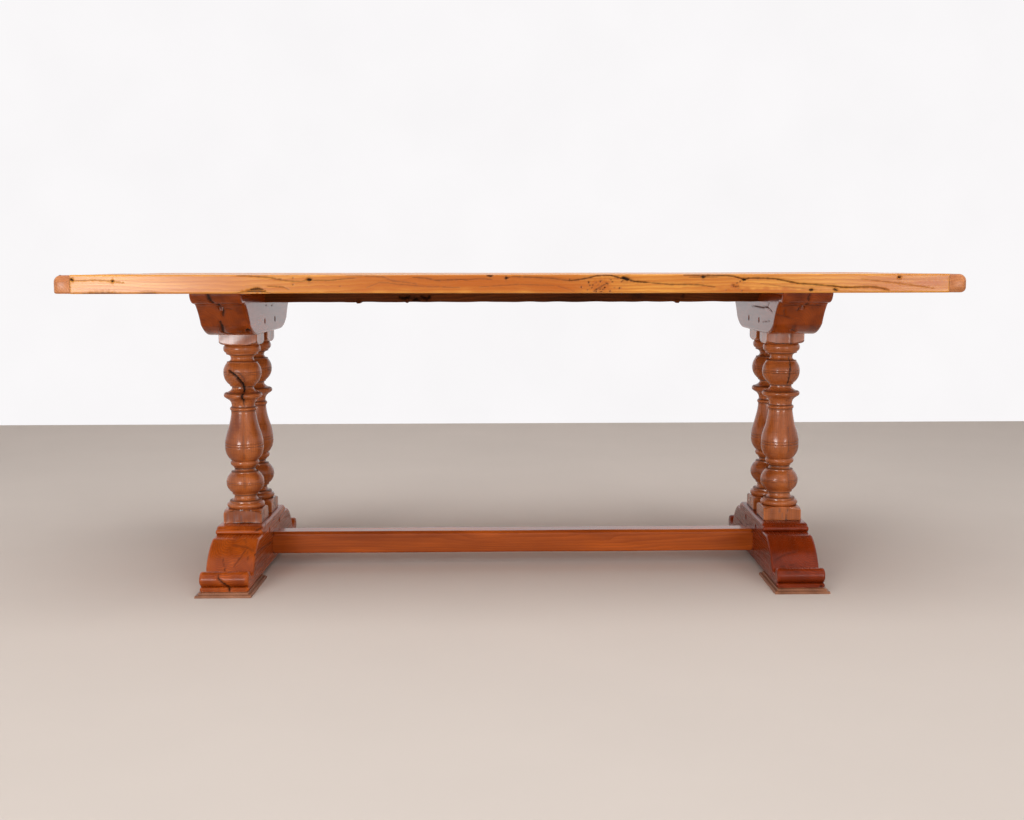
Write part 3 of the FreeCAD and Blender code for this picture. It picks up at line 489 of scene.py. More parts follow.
def outline_points(rows, step):
    """Points about one step apart along a run of straight lines and three-point arcs."""
    points = []
    for row, following in zip(rows, rows[1:]):
        start, end = Vector(row[:2]), Vector(following[:2])
        if len(row) == 2:
            count = max(1, round((end - start).length / step))
            points += [start.lerp(end, number / count) for number in range(count)]
            continue
        middle = Vector(row[2:])
        to_middle, to_end = middle - start, end - start
        cross = to_middle.x * to_end.y - to_middle.y * to_end.x
        reach = Vector((
            to_end.y * to_middle.length_squared - to_middle.y * to_end.length_squared,
            to_middle.x * to_end.length_squared - to_end.x * to_middle.length_squared,
        )) / (2.0 * cross)
        centre = start + reach
        first = math.atan2(-reach.y, -reach.x)
        last = math.atan2(end.y - centre.y, end.x - centre.x)
        turn = (last - first) % math.tau
        if cross < 0.0:
            turn -= math.tau
        count = max(3, round(abs(turn) * reach.length / step))
        for number in range(count):
            angle = first + turn * number / count
            points.append(centre + reach.length * Vector((math.cos(angle), math.sin(angle))))
    points.append(Vector(rows[-1][:2]))
    return points


def eased_corners(corners, radius, step):
    """A closed polygon with softened corners, as points about one step apart."""
    points = []
    for before, corner, after in zip(corners[-1:] + corners[:-1], corners, corners[1:] + corners[:1]):
        corner = Vector(corner)
        start = corner + (Vector(before) - corner).normalized() * radius
        end = corner + (Vector(after) - corner).normalized() * radius
        for share in (0.0, 0.25, 0.5, 0.75, 1.0):
            points.append(start.lerp(corner, share).lerp(corner.lerp(end, share), share))
    rows = [tuple(point) for point in points + points[:1]]
    return outline_points(rows, step)[:-1]


def scaled(shares, origin, size):
    """Outline rows in metres from rows of shares."""
    return [tuple(origin[number % 2] + size[number % 2] * share for number, share in enumerate(row))
            for row in shares]


def two_ended_outline(shares, end_length, half_length, base, rise, step):
    """Loop of (y, z) places of a piece whose two ends mirror each other."""
    one = outline_points(scaled(shares, (half_length, base), (-end_length, rise)), step)
    other = [Vector((-point.x, point.y)) for point in reversed(one)]
    last = outline_points([tuple(one[-1]), tuple(other[0])], step)[1:-1]
    first = outline_points([tuple(other[-1]), tuple(one[0])], step)[1:-1]
    return one + last + other + first


def edges_at(bm, axis, place):
    """The edges that lie flat at a place along an axis."""
    return [edge for edge in bm.edges if all(abs(vert.co[axis] - place) < TOUCH for vert in edge.verts)]


def round_over(bm, edges, radius, segments):
    bmesh.ops.bevel(bm, geom=edges, offset=radius, offset_type="OFFSET", segments=segments, profile=0.5,
                    affect="EDGES", material=-1)


def close_up(bm):
    """Fills the open ends of a shape and turns its faces outward."""
    bmesh.ops.holes_fill(bm, edges=[edge for edge in bm.edges if edge.is_boundary], sides=0)
    bmesh.ops.recalc_face_normals(bm, faces=bm.faces)


def sweep(points, travel, steps, rounding=0.0):
    """Carries a closed loop of places along a straight line, rounds the two ends and cuts it into steps."""
    bm = bmesh.new()
    ring = [bm.verts.new(point) for point in points]
    edges = [bm.edges.new(pair) for pair in zip(ring, ring[1:] + ring[:1])]
    carried = bmesh.ops.extrude_edge_only(bm, edges=edges)["geom"]
    moved = [item for item in carried if isinstance(item, bmesh.types.BMVert)]
    bmesh.ops.translate(bm, verts=moved, vec=travel)
    close_up(bm)
    if rounding:
        rims = {edge for face in bm.faces if len(face.verts) > FEW_CORNERS for edge in face.edges}
        round_over(bm, list(rims), rounding, 4)
    half = travel.length_squared / 2
    lengthways = [edge for edge in bm.edges if abs((edge.verts[1].co - edge.verts[0].co).dot(travel)) > half]
    bmesh.ops.subdivide_edges(bm, edges=lengthways, cuts=steps - 1)
    return bm


def cut_grid(bm, low, high, spacings, geom=None):
    """Cuts a mesh, or part of it, into cells that wear can follow. A spacing of 0 leaves an axis alone."""
    geom = geom or [*bm.verts, *bm.edges, *bm.faces]
    for axis, spacing in enumerate(spacings):
        count = int((high[axis] - low[axis]) / spacing) if spacing else 0
        normal = Vector([float(number == axis) for number in range(3)])
        for number in range(1, count + 1):
            place = Vector(low) + normal * (number - 0.5) * spacing
            geom = bmesh.ops.bisect_plane(bm, geom=geom, plane_co=place, plane_no=normal, dist=TOUCH)["geom"]


def add_cylinder(bm, radius, start, end, segments):
    start, end = Vector(start), Vector(end)
    axis = end - start
    turn = axis.to_track_quat("Z", "Y").to_matrix().to_4x4()
    bmesh.ops.create_cone(bm, cap_ends=True, segments=segments, radius1=radius, radius2=radius,
                          depth=axis.length, matrix=Matrix.Translation((start + end) / 2) @ turn)


def add_box(bm, low, high):
    low, high = Vector(low), Vector(high)
    matrix = Matrix.Translation((low + high) / 2) @ Matrix.Diagonal((*(high - low), 1.0))
    return bmesh.ops.create_cube(bm, size=1.0, matrix=matrix)["verts"]


def merge(bm, other):
    """Moves the shapes of another mesh into this one."""
    spare = bpy.data.meshes.new("spare")
    other.to_mesh(spare)
    other.free()
    bm.from_mesh(spare)
    bpy.data.meshes.remove(spare)


def as_object(bm, name):
    mesh = bpy.data.meshes.new(name)
    bm.to_mesh(mesh)
    bm.free()
    piece = bpy.data.objects.new(name, mesh)
    bpy.context.scene.collection.objects.link(piece)
    return piece


def cut_away(piece, cutter_bm):
    """Takes the cutters out of a piece."""
    cutter = as_object(cutter_bm, f"{piece.name}_cutter")
    modifier = piece.modifiers.new("Joinery", "BOOLEAN")
    modifier.operation = "DIFFERENCE"
    modifier.solver = "EXACT"
    modifier.object = cutter
    graph = bpy.context.evaluated_depsgraph_get()
    cut = bpy.data.meshes.new_from_object(piece.evaluated_get(graph))
    piece.modifiers.clear()
    plain = piece.data
    piece.data = cut
    bpy.data.meshes.remove(plain)
    cut.name = piece.name
    bpy.data.meshes.remove(cutter.data)


def shaped_beam(node, low, high, loop, rounding):
    """A bolster or foot, with its flat sides cut finely across the grain and coarsely along it."""
    bm = sweep([(low.x, y, z) for y, z in loop], Vector((high.x - low.x, 0, 0)), BEAM_STEPS, rounding)
    for face in [face for face in bm.faces if len(face.verts) > FEW_CORNERS]:
        cut_grid(bm, low, high, BEAM_CELLS, [face, *face.edges, *face.verts])
    return as_object(bm, f"{node}_worn")


def baluster_mortises(centre, start, stop):
    """Cutters for the round mortises of the two balusters of a trestle."""
    cutters = bmesh.new()
    for y in BALUSTER_PLACES:
        add_cylinder(cutters, MORTISE_RADIUS, (centre, y, start), (centre, y, stop), 48)
    return cutters


def cut_peg_holes(piece, low, high, height):
    """Cuts the holes of the pegs that cross a bolster or foot through the tenons."""
    pegs = bmesh.new()
    for y in BALUSTER_PLACES:
        add_cylinder(pegs, CROSS_PEG_RADIUS, (low.x - OVERRUN, y, height), (high.x + OVERRUN, y, height), 36)
    cut_away(piece, pegs)


def nearest_on_run(places, run):
    """Distance of each place from a run of straight lines, and its share of the way along the run."""
    lengths = np.linalg.norm(np.diff(run, axis=0), axis=1)
    starts = np.concatenate(([0.0], np.cumsum(lengths)))
    gap = np.full(len(places), np.inf)
    along = np.zeros(len(places))
    for number, (start, end) in enumerate(zip(run, run[1:])):
        step = end - start
        share = np.clip(((places - start) @ step) / max(step @ step, 1e-12), 0.0, 1.0)
        distance = np.linalg.norm(places - start - share[:, None] * step, axis=1)
        closer = distance < gap
        gap[closer] = distance[closer]
        along[closer] = (starts[number] + share[closer] * lengths[number]) / starts[-1]
    return gap, along


def mesh_values(collection, name):
    values = np.empty(len(collection) * 3)
    collection.foreach_get(name, values)
    return values.reshape(-1, 3)


def marks_of(name):
    """The marks of a piece in metres, each with the side that it is seen from."""
    return [(side, width * MM, depth * MM,
             [(across * MM, up * MM) for across, up in zip(run[::2], run[1::2])])
            for side, marks in MARKS.get(name, {}).items() for width, depth, *run in marks]


def weather(mesh, seed, unevenness, wavelengths, marks=(), scores=(), creases=()):
    """Gives a mesh the unevenness of handwork and its checks, and notes what the finish needs to know.

    The attribute checks is 1 in a check or knot, where it gives a knot's own dark colour and painted
    shade inside a check or hole, and it also carries painted shade in creases. The attribute stain is 1
    in a darker patch. The attribute relief is above 0 along arrises, which get paler wear and a painted
    highlight, and below 0 in creases, where dark wax gathers and painted shade is laid.
    """
    places = mesh_values(mesh.vertices, "co")
    normals = mesh_values(mesh.vertices, "normal")
    rng = random.Random(seed)
    wave = np.zeros(len(places))
    for _ in range(WAVES):
        heading = Vector((rng.gauss(0, 1), rng.gauss(0, 1), rng.gauss(0, 1))).normalized()
        rate = math.tau / rng.uniform(*wavelengths)
        wave += np.sin(places @ np.array(heading) * rate + rng.uniform(0, math.tau))
    shift = wave * unevenness / math.sqrt(WAVES)
    checks, stain = np.zeros(len(places)), np.zeros(len(places))
    for side, width, depth, run in marks:
        axis, sign = SIDES[side]
        flat = np.delete(places, axis, axis=1)
        run = np.array(run, float)
        near = np.all((flat > run.min(0) - width * 4) & (flat < run.max(0) + width * 4), axis=1)
        index = np.nonzero(near & (normals[:, axis] * sign > 0.2))[0]
        gap, along = nearest_on_run(flat[index], run)
        # A mark is widest in its middle, with ragged sides that differ from mark to mark.
        ragged = 1.0 + 0.22 * np.sin(along * 37.0 + width * 9000) + 0.18 * np.sin(along * 83.0 + depth * 7000)
        reach = width * (0.5 + 0.5 * np.sin(math.pi * along) ** 0.5) * ragged
        share = np.clip(1.5 - 1.5 * gap / reach, 0.0, 1.0)
        share = share * share * (3.0 - 2.0 * share)
        if depth == 0.0:
            # A stain fades towards its ends.
            share *= np.clip(4.0 * np.minimum(along, 1.0 - along), 0.0, 1.0)
            stain[index] = np.maximum(stain[index], share)
        elif depth > 0.0:
            # A hollow's darkness is painted shade, and a knot's is its own colour. A wide hollow is open to
            # the light, a narrow one is black inside. Dirt spreads beside both.
            strength = min(1.0, math.sqrt(depth / BLACK_DEPTH)) * (0.5 if width > OPEN_HALF_WIDTH else 1.0)
            halo = 0.3 * np.clip(1.0 - gap / (3.2 * reach), 0.0, 1.0)
            checks[index] = np.maximum(checks[index], strength * np.maximum(share, halo))
        shift[index] -= depth * share
    # Scored lines are cut and darkened; creases are only darkened, as painted shade with dark wax.
    for heights, half_width, depth, strength in (
            (scores, SCORE_HALF_WIDTH, SCORE_DEPTH, 0.7), (creases, CREASE_HALF_WIDTH, 0.0, 0.6)):
        for height in heights:
            share = np.clip(1.0 - np.abs(places[:, 2] - height) / half_width, 0.0, 1.0)
            shift -= depth * share
            checks = np.maximum(checks, strength * share)
    places += normals * shift[:, None]
    mesh.vertices.foreach_set("co", places.ravel())
    mesh.update()

    # Relief is how fast the surface bends along its edges, evened out with the neighbours'.
    normals = mesh_values(mesh.vertices, "normal")
    ends = np.empty(len(mesh.edges) * 2, dtype=np.int32)
    mesh.edges.foreach_get("vertices", ends)
    one, two = ends.reshape(-1, 2).T
    along = places[two] - places[one]
    length = np.maximum(np.linalg.norm(along, axis=1), TOUCH)
    bend = np.sum((normals[two] - normals[one]) * along, axis=1) / length
    size = len(places)
    total = np.bincount(one, bend, size) + np.bincount(two, bend, size)
    relief = total / np.maximum(np.bincount(one, length, size) + np.bincount(two, length, size), TOUCH)
    neighbours = 1.0 + np.bincount(one, minlength=size) + np.bincount(two, minlength=size)
    relief = (relief + np.bincount(one, relief[two], size) + np.bincount(two, relief[one], size)) / neighbours
    relief = np.tanh(RELIEF_RADIUS * relief)
    for name, values in (("checks", checks), ("stain", stain), ("relief", relief)):
        mesh.attributes.new(name, "FLOAT", "POINT").data.foreach_set("value", values.astype(np.float32))
    mesh.shade_smooth()
    mesh.set_sharp_from_angle(angle=SMOOTH_ANGLE)


def dress(piece, material, slot, *nodes):
    """Gives a piece its finish, puts it on the table and hides the plain nodes that it stands for."""
    piece.data.materials.clear()
    piece.data.materials.append(material)
    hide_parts(*nodes)
    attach(piece, "root")


def finish_node(node, material):
    """Gives a node that stays as it is a better finish."""
    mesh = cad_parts[node].data
    mesh.materials.clear()
    mesh.materials.append(material)


def add(tree, kind, inputs, **settings):
    """Adds a node with its settings. An input is a plain value or the socket that feeds it."""
    node = tree.nodes.new(kind)
    for key, value in settings.items():
        setattr(node, key, value)
    for key, value in inputs.items():
        if isinstance(value, bpy.types.NodeSocket):
            tree.links.new(value, node.inputs[key])
        else:
            node.inputs[key].default_value = value
    return node


def bare_material(name):
    """A material with an empty node tree."""
    material = bpy.data.materials.new(name)
    material.use_nodes = True
    material.node_tree.nodes.clear()
    return material, material.node_tree


def waxed_wood(name, grain, heart, light, dark, ring_mm, gloss, figure=1.0, lathe=0.0, wax=0.5):
    """Old solid timber under rubbed wax: growth rings, fibres, mineral streaks, open checks, worn arrises.

    Rings close up into stripes along the grain and open into arcs on end grain. Wax fills the
    creases darker, with painted shade laid in them too, rubbed arrises go paler, with a painted
    highlight on them too, and the sheen is a soft satin. A turned piece also shows the lathe's fine
    lines around it.
    """
    material, tree = bare_material(name)
    light, dark = (*light, 1.0), (*dark, 1.0)
    deep = (*(value * 0.5 for value in dark[:3]), 1.0)
    # Dark wax with painted shade for creases, and black as painted shade inside checks and holes and as the
    # dark of knots.
    wax_and_painted_shade, black = ((*linear(code), 1.0) for code in ("#220D04", "#150904"))
    table = add(tree, "ShaderNodeTexCoord", {}).outputs["Object"]
    log = add(tree, "ShaderNodeMapping", {
        "Vector": table, "Rotation": GRAIN_TURNS[grain], "Location": heart}).outputs["Vector"]

    # Patterns in the log, each drawn out along it or around it.
    long, fine, around = (1.0, 1.0, 0.15), (1.0, 1.0, 0.015), (0.06, 0.06, 1.0)
    noises = {}
    for pattern, stretch, size, detail, more in (
            # Slow drift of the trunk, about 110 mm from swell to swell across and 0.73 m along.
            ("drift", long, 110 * MM, 3.0, {}),
            # Fibres and pores about 2 mm across, drawn coarser than real ones so that they show.
            ("fibre", fine, 2 * MM, 3.0, {"Roughness": 0.55}),
            # Broad light and dark figure, 45 mm across.
            ("cloud", long, 45 * MM, 4.0, {}),
            # Dark mineral streaks 14 mm across.
            ("streak", fine, 14 * MM, 3.0, {"Distortion": 0.6}),
            # Lathe lines 2.5 mm apart around the piece.
            ("lines", around, 2.5 * MM, 2.0, {})):
        place = add(tree, "ShaderNodeMapping", {"Vector": log, "Scale": stretch}).outputs["Vector"]
        noises[pattern] = add(tree, "ShaderNodeTexNoise", {
            "Vector": place, "Scale": 1 / size, "Detail": detail, **more}).outputs
    fibre = noises["fibre"]["Fac"]
    bent = add(tree, "ShaderNodeVectorMath", {
        0: noises["drift"]["Color"], 1: (0.06, 0.06, 0.06), 2: log,
    }, operation="MULTIPLY_ADD").outputs["Vector"]
    # Growth rings, as far apart as the piece's own.
    rings = add(tree, "ShaderNodeTexWave", {
        "Vector": bent, "Scale": WAVE_PERIOD / (ring_mm * MM), "Distortion": 1.6, "Detail": 3.0,
        "Detail Scale": 1.2,
    }, wave_type="RINGS", rings_direction="Z", wave_profile="SAW").outputs["Fac"]

    # The figure, then arrises rubbed paler with a painted highlight, creases filled with dark wax and painted
    # shade, checks and holes nearly black with painted shade, and knots in their own dark colour.
    stain, relief, checks = (add(tree, "ShaderNodeAttribute", {}, attribute_name=attribute).outputs["Fac"]
                             for attribute in ("stain", "relief", "checks"))
    tone = light
    for value, low, high, share, shade in (
            (noises["cloud"]["Fac"], 0.32, 0.68, 0.8, dark),
            (rings, 0.25, 1.0, 0.4 * figure, dark),
            (fibre, 0.35, 0.70, 0.3, dark),
            (noises["streak"]["Fac"], 0.56, 0.74, 0.3 * min(figure, 1.0), deep),
            (noises["lines"]["Fac"], 0.56, 0.72, lathe, deep),
            (stain, 0.0, 1.0, 0.72, dark),
            # Painted highlight along arrises, together with their rubbed wear.
            (relief, 0.25, 0.9, 0.35, light),
            # Painted shade in creases, together with dark wax.
            (relief, -0.5, -0.92, 0.85, wax_and_painted_shade),
            # Painted shade inside checks, holes and creases, and the dark colour of knots.
            (checks, 0.0, 1.0, 0.97, black)):
        share = add(tree, "ShaderNodeMapRange", {
            "Value": value, "From Min": low, "From Max": high, "To Min": 0.0, "To Max": share,
        }).outputs["Result"]
        tone = add(tree, "ShaderNodeMix", {0: share, 6: tone, 7: shade}, data_type="RGBA").outputs[2]

    # Fibres break the sheen a little, and a check has none.
    rough = add(tree, "ShaderNodeMapRange", {
        "Value": fibre, "From Min": 0.3, "From Max": 0.7, "To Min": gloss - 0.03, "To Max": gloss + 0.04,
    }).outputs["Result"]
    rough = add(tree, "ShaderNodeMath", {
        0: checks, 1: 0.5, 2: rough}, operation="MULTIPLY_ADD").outputs["Value"]
    height = add(tree, "ShaderNodeMath", {0: fibre, 1: rings}, operation="ADD").outputs["Value"]
    bump = add(tree, "ShaderNodeBump", {"Height": height, "Strength": 0.05, "Distance": 0.12 * MM})
    shader = add(tree, "ShaderNodeBsdfPrincipled", {
        "Base Color": tone, "Roughness": rough, "Normal": bump.outputs["Normal"], "IOR": 1.33,
        "Specular IOR Level": wax})
    add(tree, "ShaderNodeOutputMaterial", {"Surface": shader.outputs["BSDF"]})
    return material


def dull_steel():
    """Plain wood-screw steel gone dull: grey, with fine turned lines 1.5 mm apart across it."""
    material, tree = bare_material("dull_screw_steel")
    table = add(tree, "ShaderNodeTexCoord", {}).outputs["Object"]
    lines = add(tree, "ShaderNodeMapping", {"Vector": table, "Scale": (0.2, 0.2, 1.0)}).outputs["Vector"]
    turned = add(tree, "ShaderNodeTexNoise", {
        "Vector": lines, "Scale": 1 / (1.5 * MM), "Detail": 2.0}).outputs["Fac"]
    tone = add(tree, "ShaderNodeMix", {
        0: turned, 6: (*linear("#6E6A66"), 1.0), 7: (*linear("#A29D98"), 1.0)}, data_type="RGBA").outputs[2]
    rough = add(tree, "ShaderNodeMapRange", {
        "Value": turned, "To Min": 0.35, "To Max": 0.55}).outputs["Result"]
    shader = add(tree, "ShaderNodeBsdfPrincipled", {"Base Color": tone, "Roughness": rough, "Metallic": 1.0})
    add(tree, "ShaderNodeOutputMaterial", {"Surface": shader.outputs["BSDF"]})
    return material


class TableWear(bpy.types.PropertyGroup):
    rounding: bpy.props.FloatProperty(
        name="Rounding", description="Rounding of the trestles' worn arrises",
        default=5.5 * MM, unit="LENGTH")
    unevenness: bpy.props.FloatProperty(
        name="Unevenness", description="How far handwork strays from true",
        default=0.35 * MM, unit="LENGTH")
    joint_chamfer: bpy.props.FloatProperty(
        name="Joint chamfer", description="Chamfer where two boards meet",
        default=1.1 * MM, unit="LENGTH")
    cell: bpy.props.FloatProperty(
        name="Cell", description="Size of the cells that wear follows",
        default=3.5 * MM, unit="LENGTH")


class TableColours(bpy.types.PropertyGroup):
    __annotations__ = {
        f"{piece}_{shade}": bpy.props.FloatVectorProperty(
            name=f"{piece.replace('_', ' ').capitalize()}, {shade}", description="Tone of the wood",
            default=linear(code), subtype="COLOR", min=0.0, max=1.0)
        for piece, codes in TONES.items() for shade, code in zip(("light", "dark"), codes)}


class TableStage(bpy.types.PropertyGroup):
    __annotations__ = {
        "floor": bpy.props.FloatVectorProperty(
            name="Floor", description="Colour of the floor", default=linear("#CDC2B9"), subtype="COLOR"),
        "wall": bpy.props.FloatVectorProperty(
            name="Wall", description="Colour of the backdrop", default=linear("#F6F4F5"), subtype="COLOR"),
    } | {
        name: bpy.props.FloatProperty(
            name=name.replace("_", " ").capitalize(), description=f"Power of the {lamp[0]}",
            default=lamp[1], unit="POWER")
        for name, lamp in LAMPS.items()}


class TABLE_OT_boards(bpy.types.Operator):
    """Make the five boards of the top"""
    bl_idname = "table.boards"
    bl_label = "Top boards"

    # Each board came from another tree, and took the finish a little paler or deeper.
    depths = (0.93, 0.82, 0.95, 0.76, 0.90)

    def execute(self, context):
        wear, colours = context.scene.table_wear, context.scene.table_colours
        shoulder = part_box("breadboard_right")[0].x
        for number, (name, depth) in enumerate(zip(BOARDS, self.depths)):
            node = f"top_board_{name}"
            first, last = number == 0, number == len(BOARDS) - 1
            low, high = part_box(node)
            marks = marks_of(node)
            loop = self.section(low, high, first, last, wear.joint_chamfer, marks)
            steps = round(2 * shoulder / (FRONT_BOARD_STEP if first else BOARD_STEP))
            bm = sweep([(-shoulder, y, z) for y, z in loop], Vector((2 * shoulder, 0, 0)), steps)
            front = low.y + (TONGUE_STOP if first else 0.0)
            rear = high.y - (TONGUE_STOP if last else 0.0)
            for sign in SIGNS.values():
                reach = sorted((sign * (shoulder - TONGUE_ROOT), sign * high.x))
                add_box(bm, (reach[0], front, low.z + TONGUE_LOW), (reach[1], rear, low.z + TONGUE_HIGH))
            board = as_object(bm, f"{node}_worn")
            if first:
                marks += self.worm_holes()
            weather(board.data, 11 + number, wear.unevenness, WAVELENGTHS["top"], marks)
            # The heart of the log lies about 100 mm under the board, at another place for each.
            across = -(low.y + high.y) / 2 + 0.03 * (number % 3 - 1)
            heart = (low.z - 0.10 + 0.02 * number, across, 0.37 * number)
            light, dark = ([value * depth for value in tone]
                           for tone in (colours.top_light, colours.top_dark))
            wood = waxed_wood(f"honey_brown_board_{name}", "X", heart, light, dark, **FINISHES["top"])
            dress(board, wood, "top_wood", node)
        return {"FINISHED"}

    def worm_holes(self):
        """Small round holes scattered through each cluster."""
        rng = random.Random(5)
        holes = []
        for across, up, half_width, half_height, count in WORM_CLUSTERS:
            for _ in range(count):
                x = (across + rng.gauss(0, 0.5) * half_width) * MM
                z = (up + rng.uniform(-1, 1) * half_height) * MM
                radius = rng.uniform(1.4, 2.3) * MM
                run = [(x - WORM_HOLE_HALF_LENGTH, z), (x + WORM_HOLE_HALF_LENGTH, z)]
                holes.append(("front", radius, WORM_HOLE_DEPTH, run))
        return holes

    def section(self, low, high, first, last, chamfer, marks):
        """A board's section, round from its front lower corner, with grooves for the loose splines."""
        middle = (low.z + high.z) / 2
        groove_low, groove_high = middle - SPLINE_GROOVE_HALF, middle + SPLINE_GROOVE_HALF

        def edge(y, side, outer):
            if outer:
                under, over = 3 * MM, 2 * MM
                slack = 1.0 - math.sqrt(0.5)
                return outline_points([
                    (y - side * under, low.z, y - side * under * slack, low.z + under * slack),
                    (y, low.z + under),
                    (y, high.z - over, y - side * over * slack, high.z - over * slack),
                    (y - side * over, high.z),
                ], 1.5 * MM)
            inner = y - side * SPLINE_GROOVE_DEPTH
            return [Vector(point) for point in (
                (y - side * chamfer, low.z), (y, low.z + chamfer),
                (y, groove_low), (inner, groove_low), (inner, groove_high), (y, groove_high),
                (y, high.z - chamfer), (y - side * chamfer, high.z))]

        rear = edge(high.y, 1, last)
        front = edge(low.y, -1, first)[::-1]
        over = self.over(rear[-1], front[0], marks)
        under = outline_points([tuple(front[-1]), tuple(rear[0])], BOARD_UNDER_CELL)[1:-1]
        return rear + over + front + under

    def over(self, start, stop, marks):
        """Points across the upper face, one cell apart where a check runs and three cells apart elsewhere."""
        checks = [[y for _, y in run] for side, _, depth, run in marks if side == "over" and depth > 0.0]
        count = round((start - stop).length / BOARD_CELL)
        points = []
        for number in range(1, count):
            point = start.lerp(stop, number / count)
            near = any(min(run) - CHECK_MARGIN < point.x < max(run) + CHECK_MARGIN for run in checks)
            if near or number % 3 == 0:
                points.append(point)
        return points


class TABLE_OT_breadboards(bpy.types.Operator):
    """Make the breadboard ends, rounded on their outer sides and grooved over the tongues"""
    bl_idname = "table.breadboards"
    bl_label = "Breadboard ends"

    # How far each end has spread past its drawn width. The right one is more worn underneath.
    spread = {"left": 3.5 * MM, "right": 5.5 * MM}
    under_rounding = {"left": 5 * MM, "right": 12 * MM}
    over_rounding = 16 * MM
    corner_rounding = 12 * MM
    bulge = 3 * MM

    def execute(self, context):
        wear, colours = context.scene.table_wear, context.scene.table_colours
        for side, sign in SIGNS.items():
            node = f"breadboard_{side}"
            low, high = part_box(node)
            inner, outer = (low.x, high.x) if sign > 0 else (high.x, low.x)
            outer += sign * self.spread[side]
            (high if sign > 0 else low).x = outer
            bm = bmesh.new()
            add_box(bm, low, high)
            upright = [edge for edge in edges_at(bm, 0, outer)
                       if abs(edge.verts[0].co.z - edge.verts[1].co.z) > TOUCH]
            round_over(bm, upright, self.corner_rounding, 8)
            for height, radius in ((high.z, self.over_rounding), (low.z, self.under_rounding[side])):
                rim = [edge for edge in edges_at(bm, 2, height)
                       if any(abs(vert.co.x - inner) > TOUCH for vert in edge.verts)]
                round_over(bm, rim, radius, 6)
            round_over(bm, edges_at(bm, 0, inner), wear.joint_chamfer, 2)
            cut_grid(bm, low, high, BREADBOARD_CELLS)
            bmesh.ops.recalc_face_normals(bm, faces=bm.faces)
            middle = (low.z + high.z) / 2
            self.swell_ends(bm, (inner + outer) / 2, middle, abs(outer - inner) / 2, high)
            piece = as_object(bm, f"{node}_worn")
            groove = bmesh.new()
            ends = sorted((inner - sign * OVERRUN, inner + sign * TONGUE_GROOVE_DEPTH))
            stop = TONGUE_STOP - TONGUE_CLEARANCE
            add_box(groove, (ends[0], low.y + stop, middle - TONGUE_GROOVE_HALF),
                    (ends[1], high.y - stop, middle + TONGUE_GROOVE_HALF))
            cut_away(piece, groove)
            holes = bmesh.new()
            x = inner + sign * END_PEG_INSET
            for name in BOARDS:
                board_low, board_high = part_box(f"top_board_{name}")
                y = (board_low.y + board_high.y) / 2
                add_cylinder(holes, END_PEG_RADIUS, (x, y, low.z - OVERRUN), (x, y, high.z + OVERRUN), 28)
            cut_away(piece, holes)
            weather(piece.data, 31 + sign, wear.unevenness, WAVELENGTHS["breadboard"], marks_of(node))
            heart = (-inner - sign * 0.05, low.z - 0.06, 0.2 * sign)
            wood = waxed_wood(f"honey_brown_breadboard_{side}", "Y", heart, colours.breadboard_light,
                              colours.breadboard_dark, **FINISHES["breadboard"])
            dress(piece, wood, "top_wood", node)
        return {"FINISHED"}

    def swell_ends(self, bm, across, up, half_width, high):
        """Lets the sawn ends bulge a little, as rounding over by hand leaves them."""
        for vert in bm.verts:
            if abs(abs(vert.co.y) - high.y) < 1 * MM:
                side = 1.0 - min(1.0, abs(vert.co.x - across) / half_width) ** 2
                rise = 1.0 - min(1.0, abs(vert.co.z - up) / (high.z - up)) ** 2
                vert.co.y += math.copysign(self.bulge * side * rise, vert.co.y)


class TABLE_OT_bolsters(bpy.types.Operator):
    """Make the shaped bolsters with their mortises, peg holes and counterbores"""
    bl_idname = "table.bolsters"
    bl_label = "Bolsters"

    def execute(self, context):
        wear, colours = context.scene.table_wear, context.scene.table_colours
        rail_low, rail_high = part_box("top_rail")
        for side, sign in SIGNS.items():
            node = f"bolster_{side}"
            low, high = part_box(node)
            loop = two_ended_outline(
                BOLSTER_END_SHARES, BOLSTER_END_LENGTH, high.y, high.z, low.z - high.z, wear.cell)
            piece = shaped_beam(node, low, high, loop, wear.rounding)
            centre = (low.x + high.x) / 2
            cutters = baluster_mortises(centre, low.z - OVERRUN, low.z + BOLSTER_MORTISE)
            for share in COUNTERBORE_SHARES:
                y = high.y * share
                add_cylinder(cutters, COUNTERBORE_RADIUS, (centre, y, low.z - OVERRUN),
                             (centre, y, high.z - COUNTERBORE_ROOF), 28)
            reach = sorted((sign * (rail_high.x + RAIL_CLEARANCE), centre - sign * RAIL_SLOT_REACH))
            add_box(cutters, (reach[0], rail_low.y - RAIL_CLEARANCE, rail_low.z),
                    (reach[1], rail_high.y + RAIL_CLEARANCE, high.z + OVERRUN))
            cut_away(piece, cutters)
            cut_peg_holes(piece, low, high, low.z + BOLSTER_PEG_RISE)
            weather(piece.data, 41 + sign, wear.unevenness, WAVELENGTHS["bolster"], marks_of(node))
            heart = (-centre - sign * 0.03, low.z - 0.01, 0.3 * sign)
            wood = waxed_wood(f"red_brown_bolster_{side}", "Y", heart, colours.bolster_light,
                              colours.bolster_dark, **FINISHES["bolster"])
            dress(piece, wood, "trestle_wood", node)
        return {"FINISHED"}


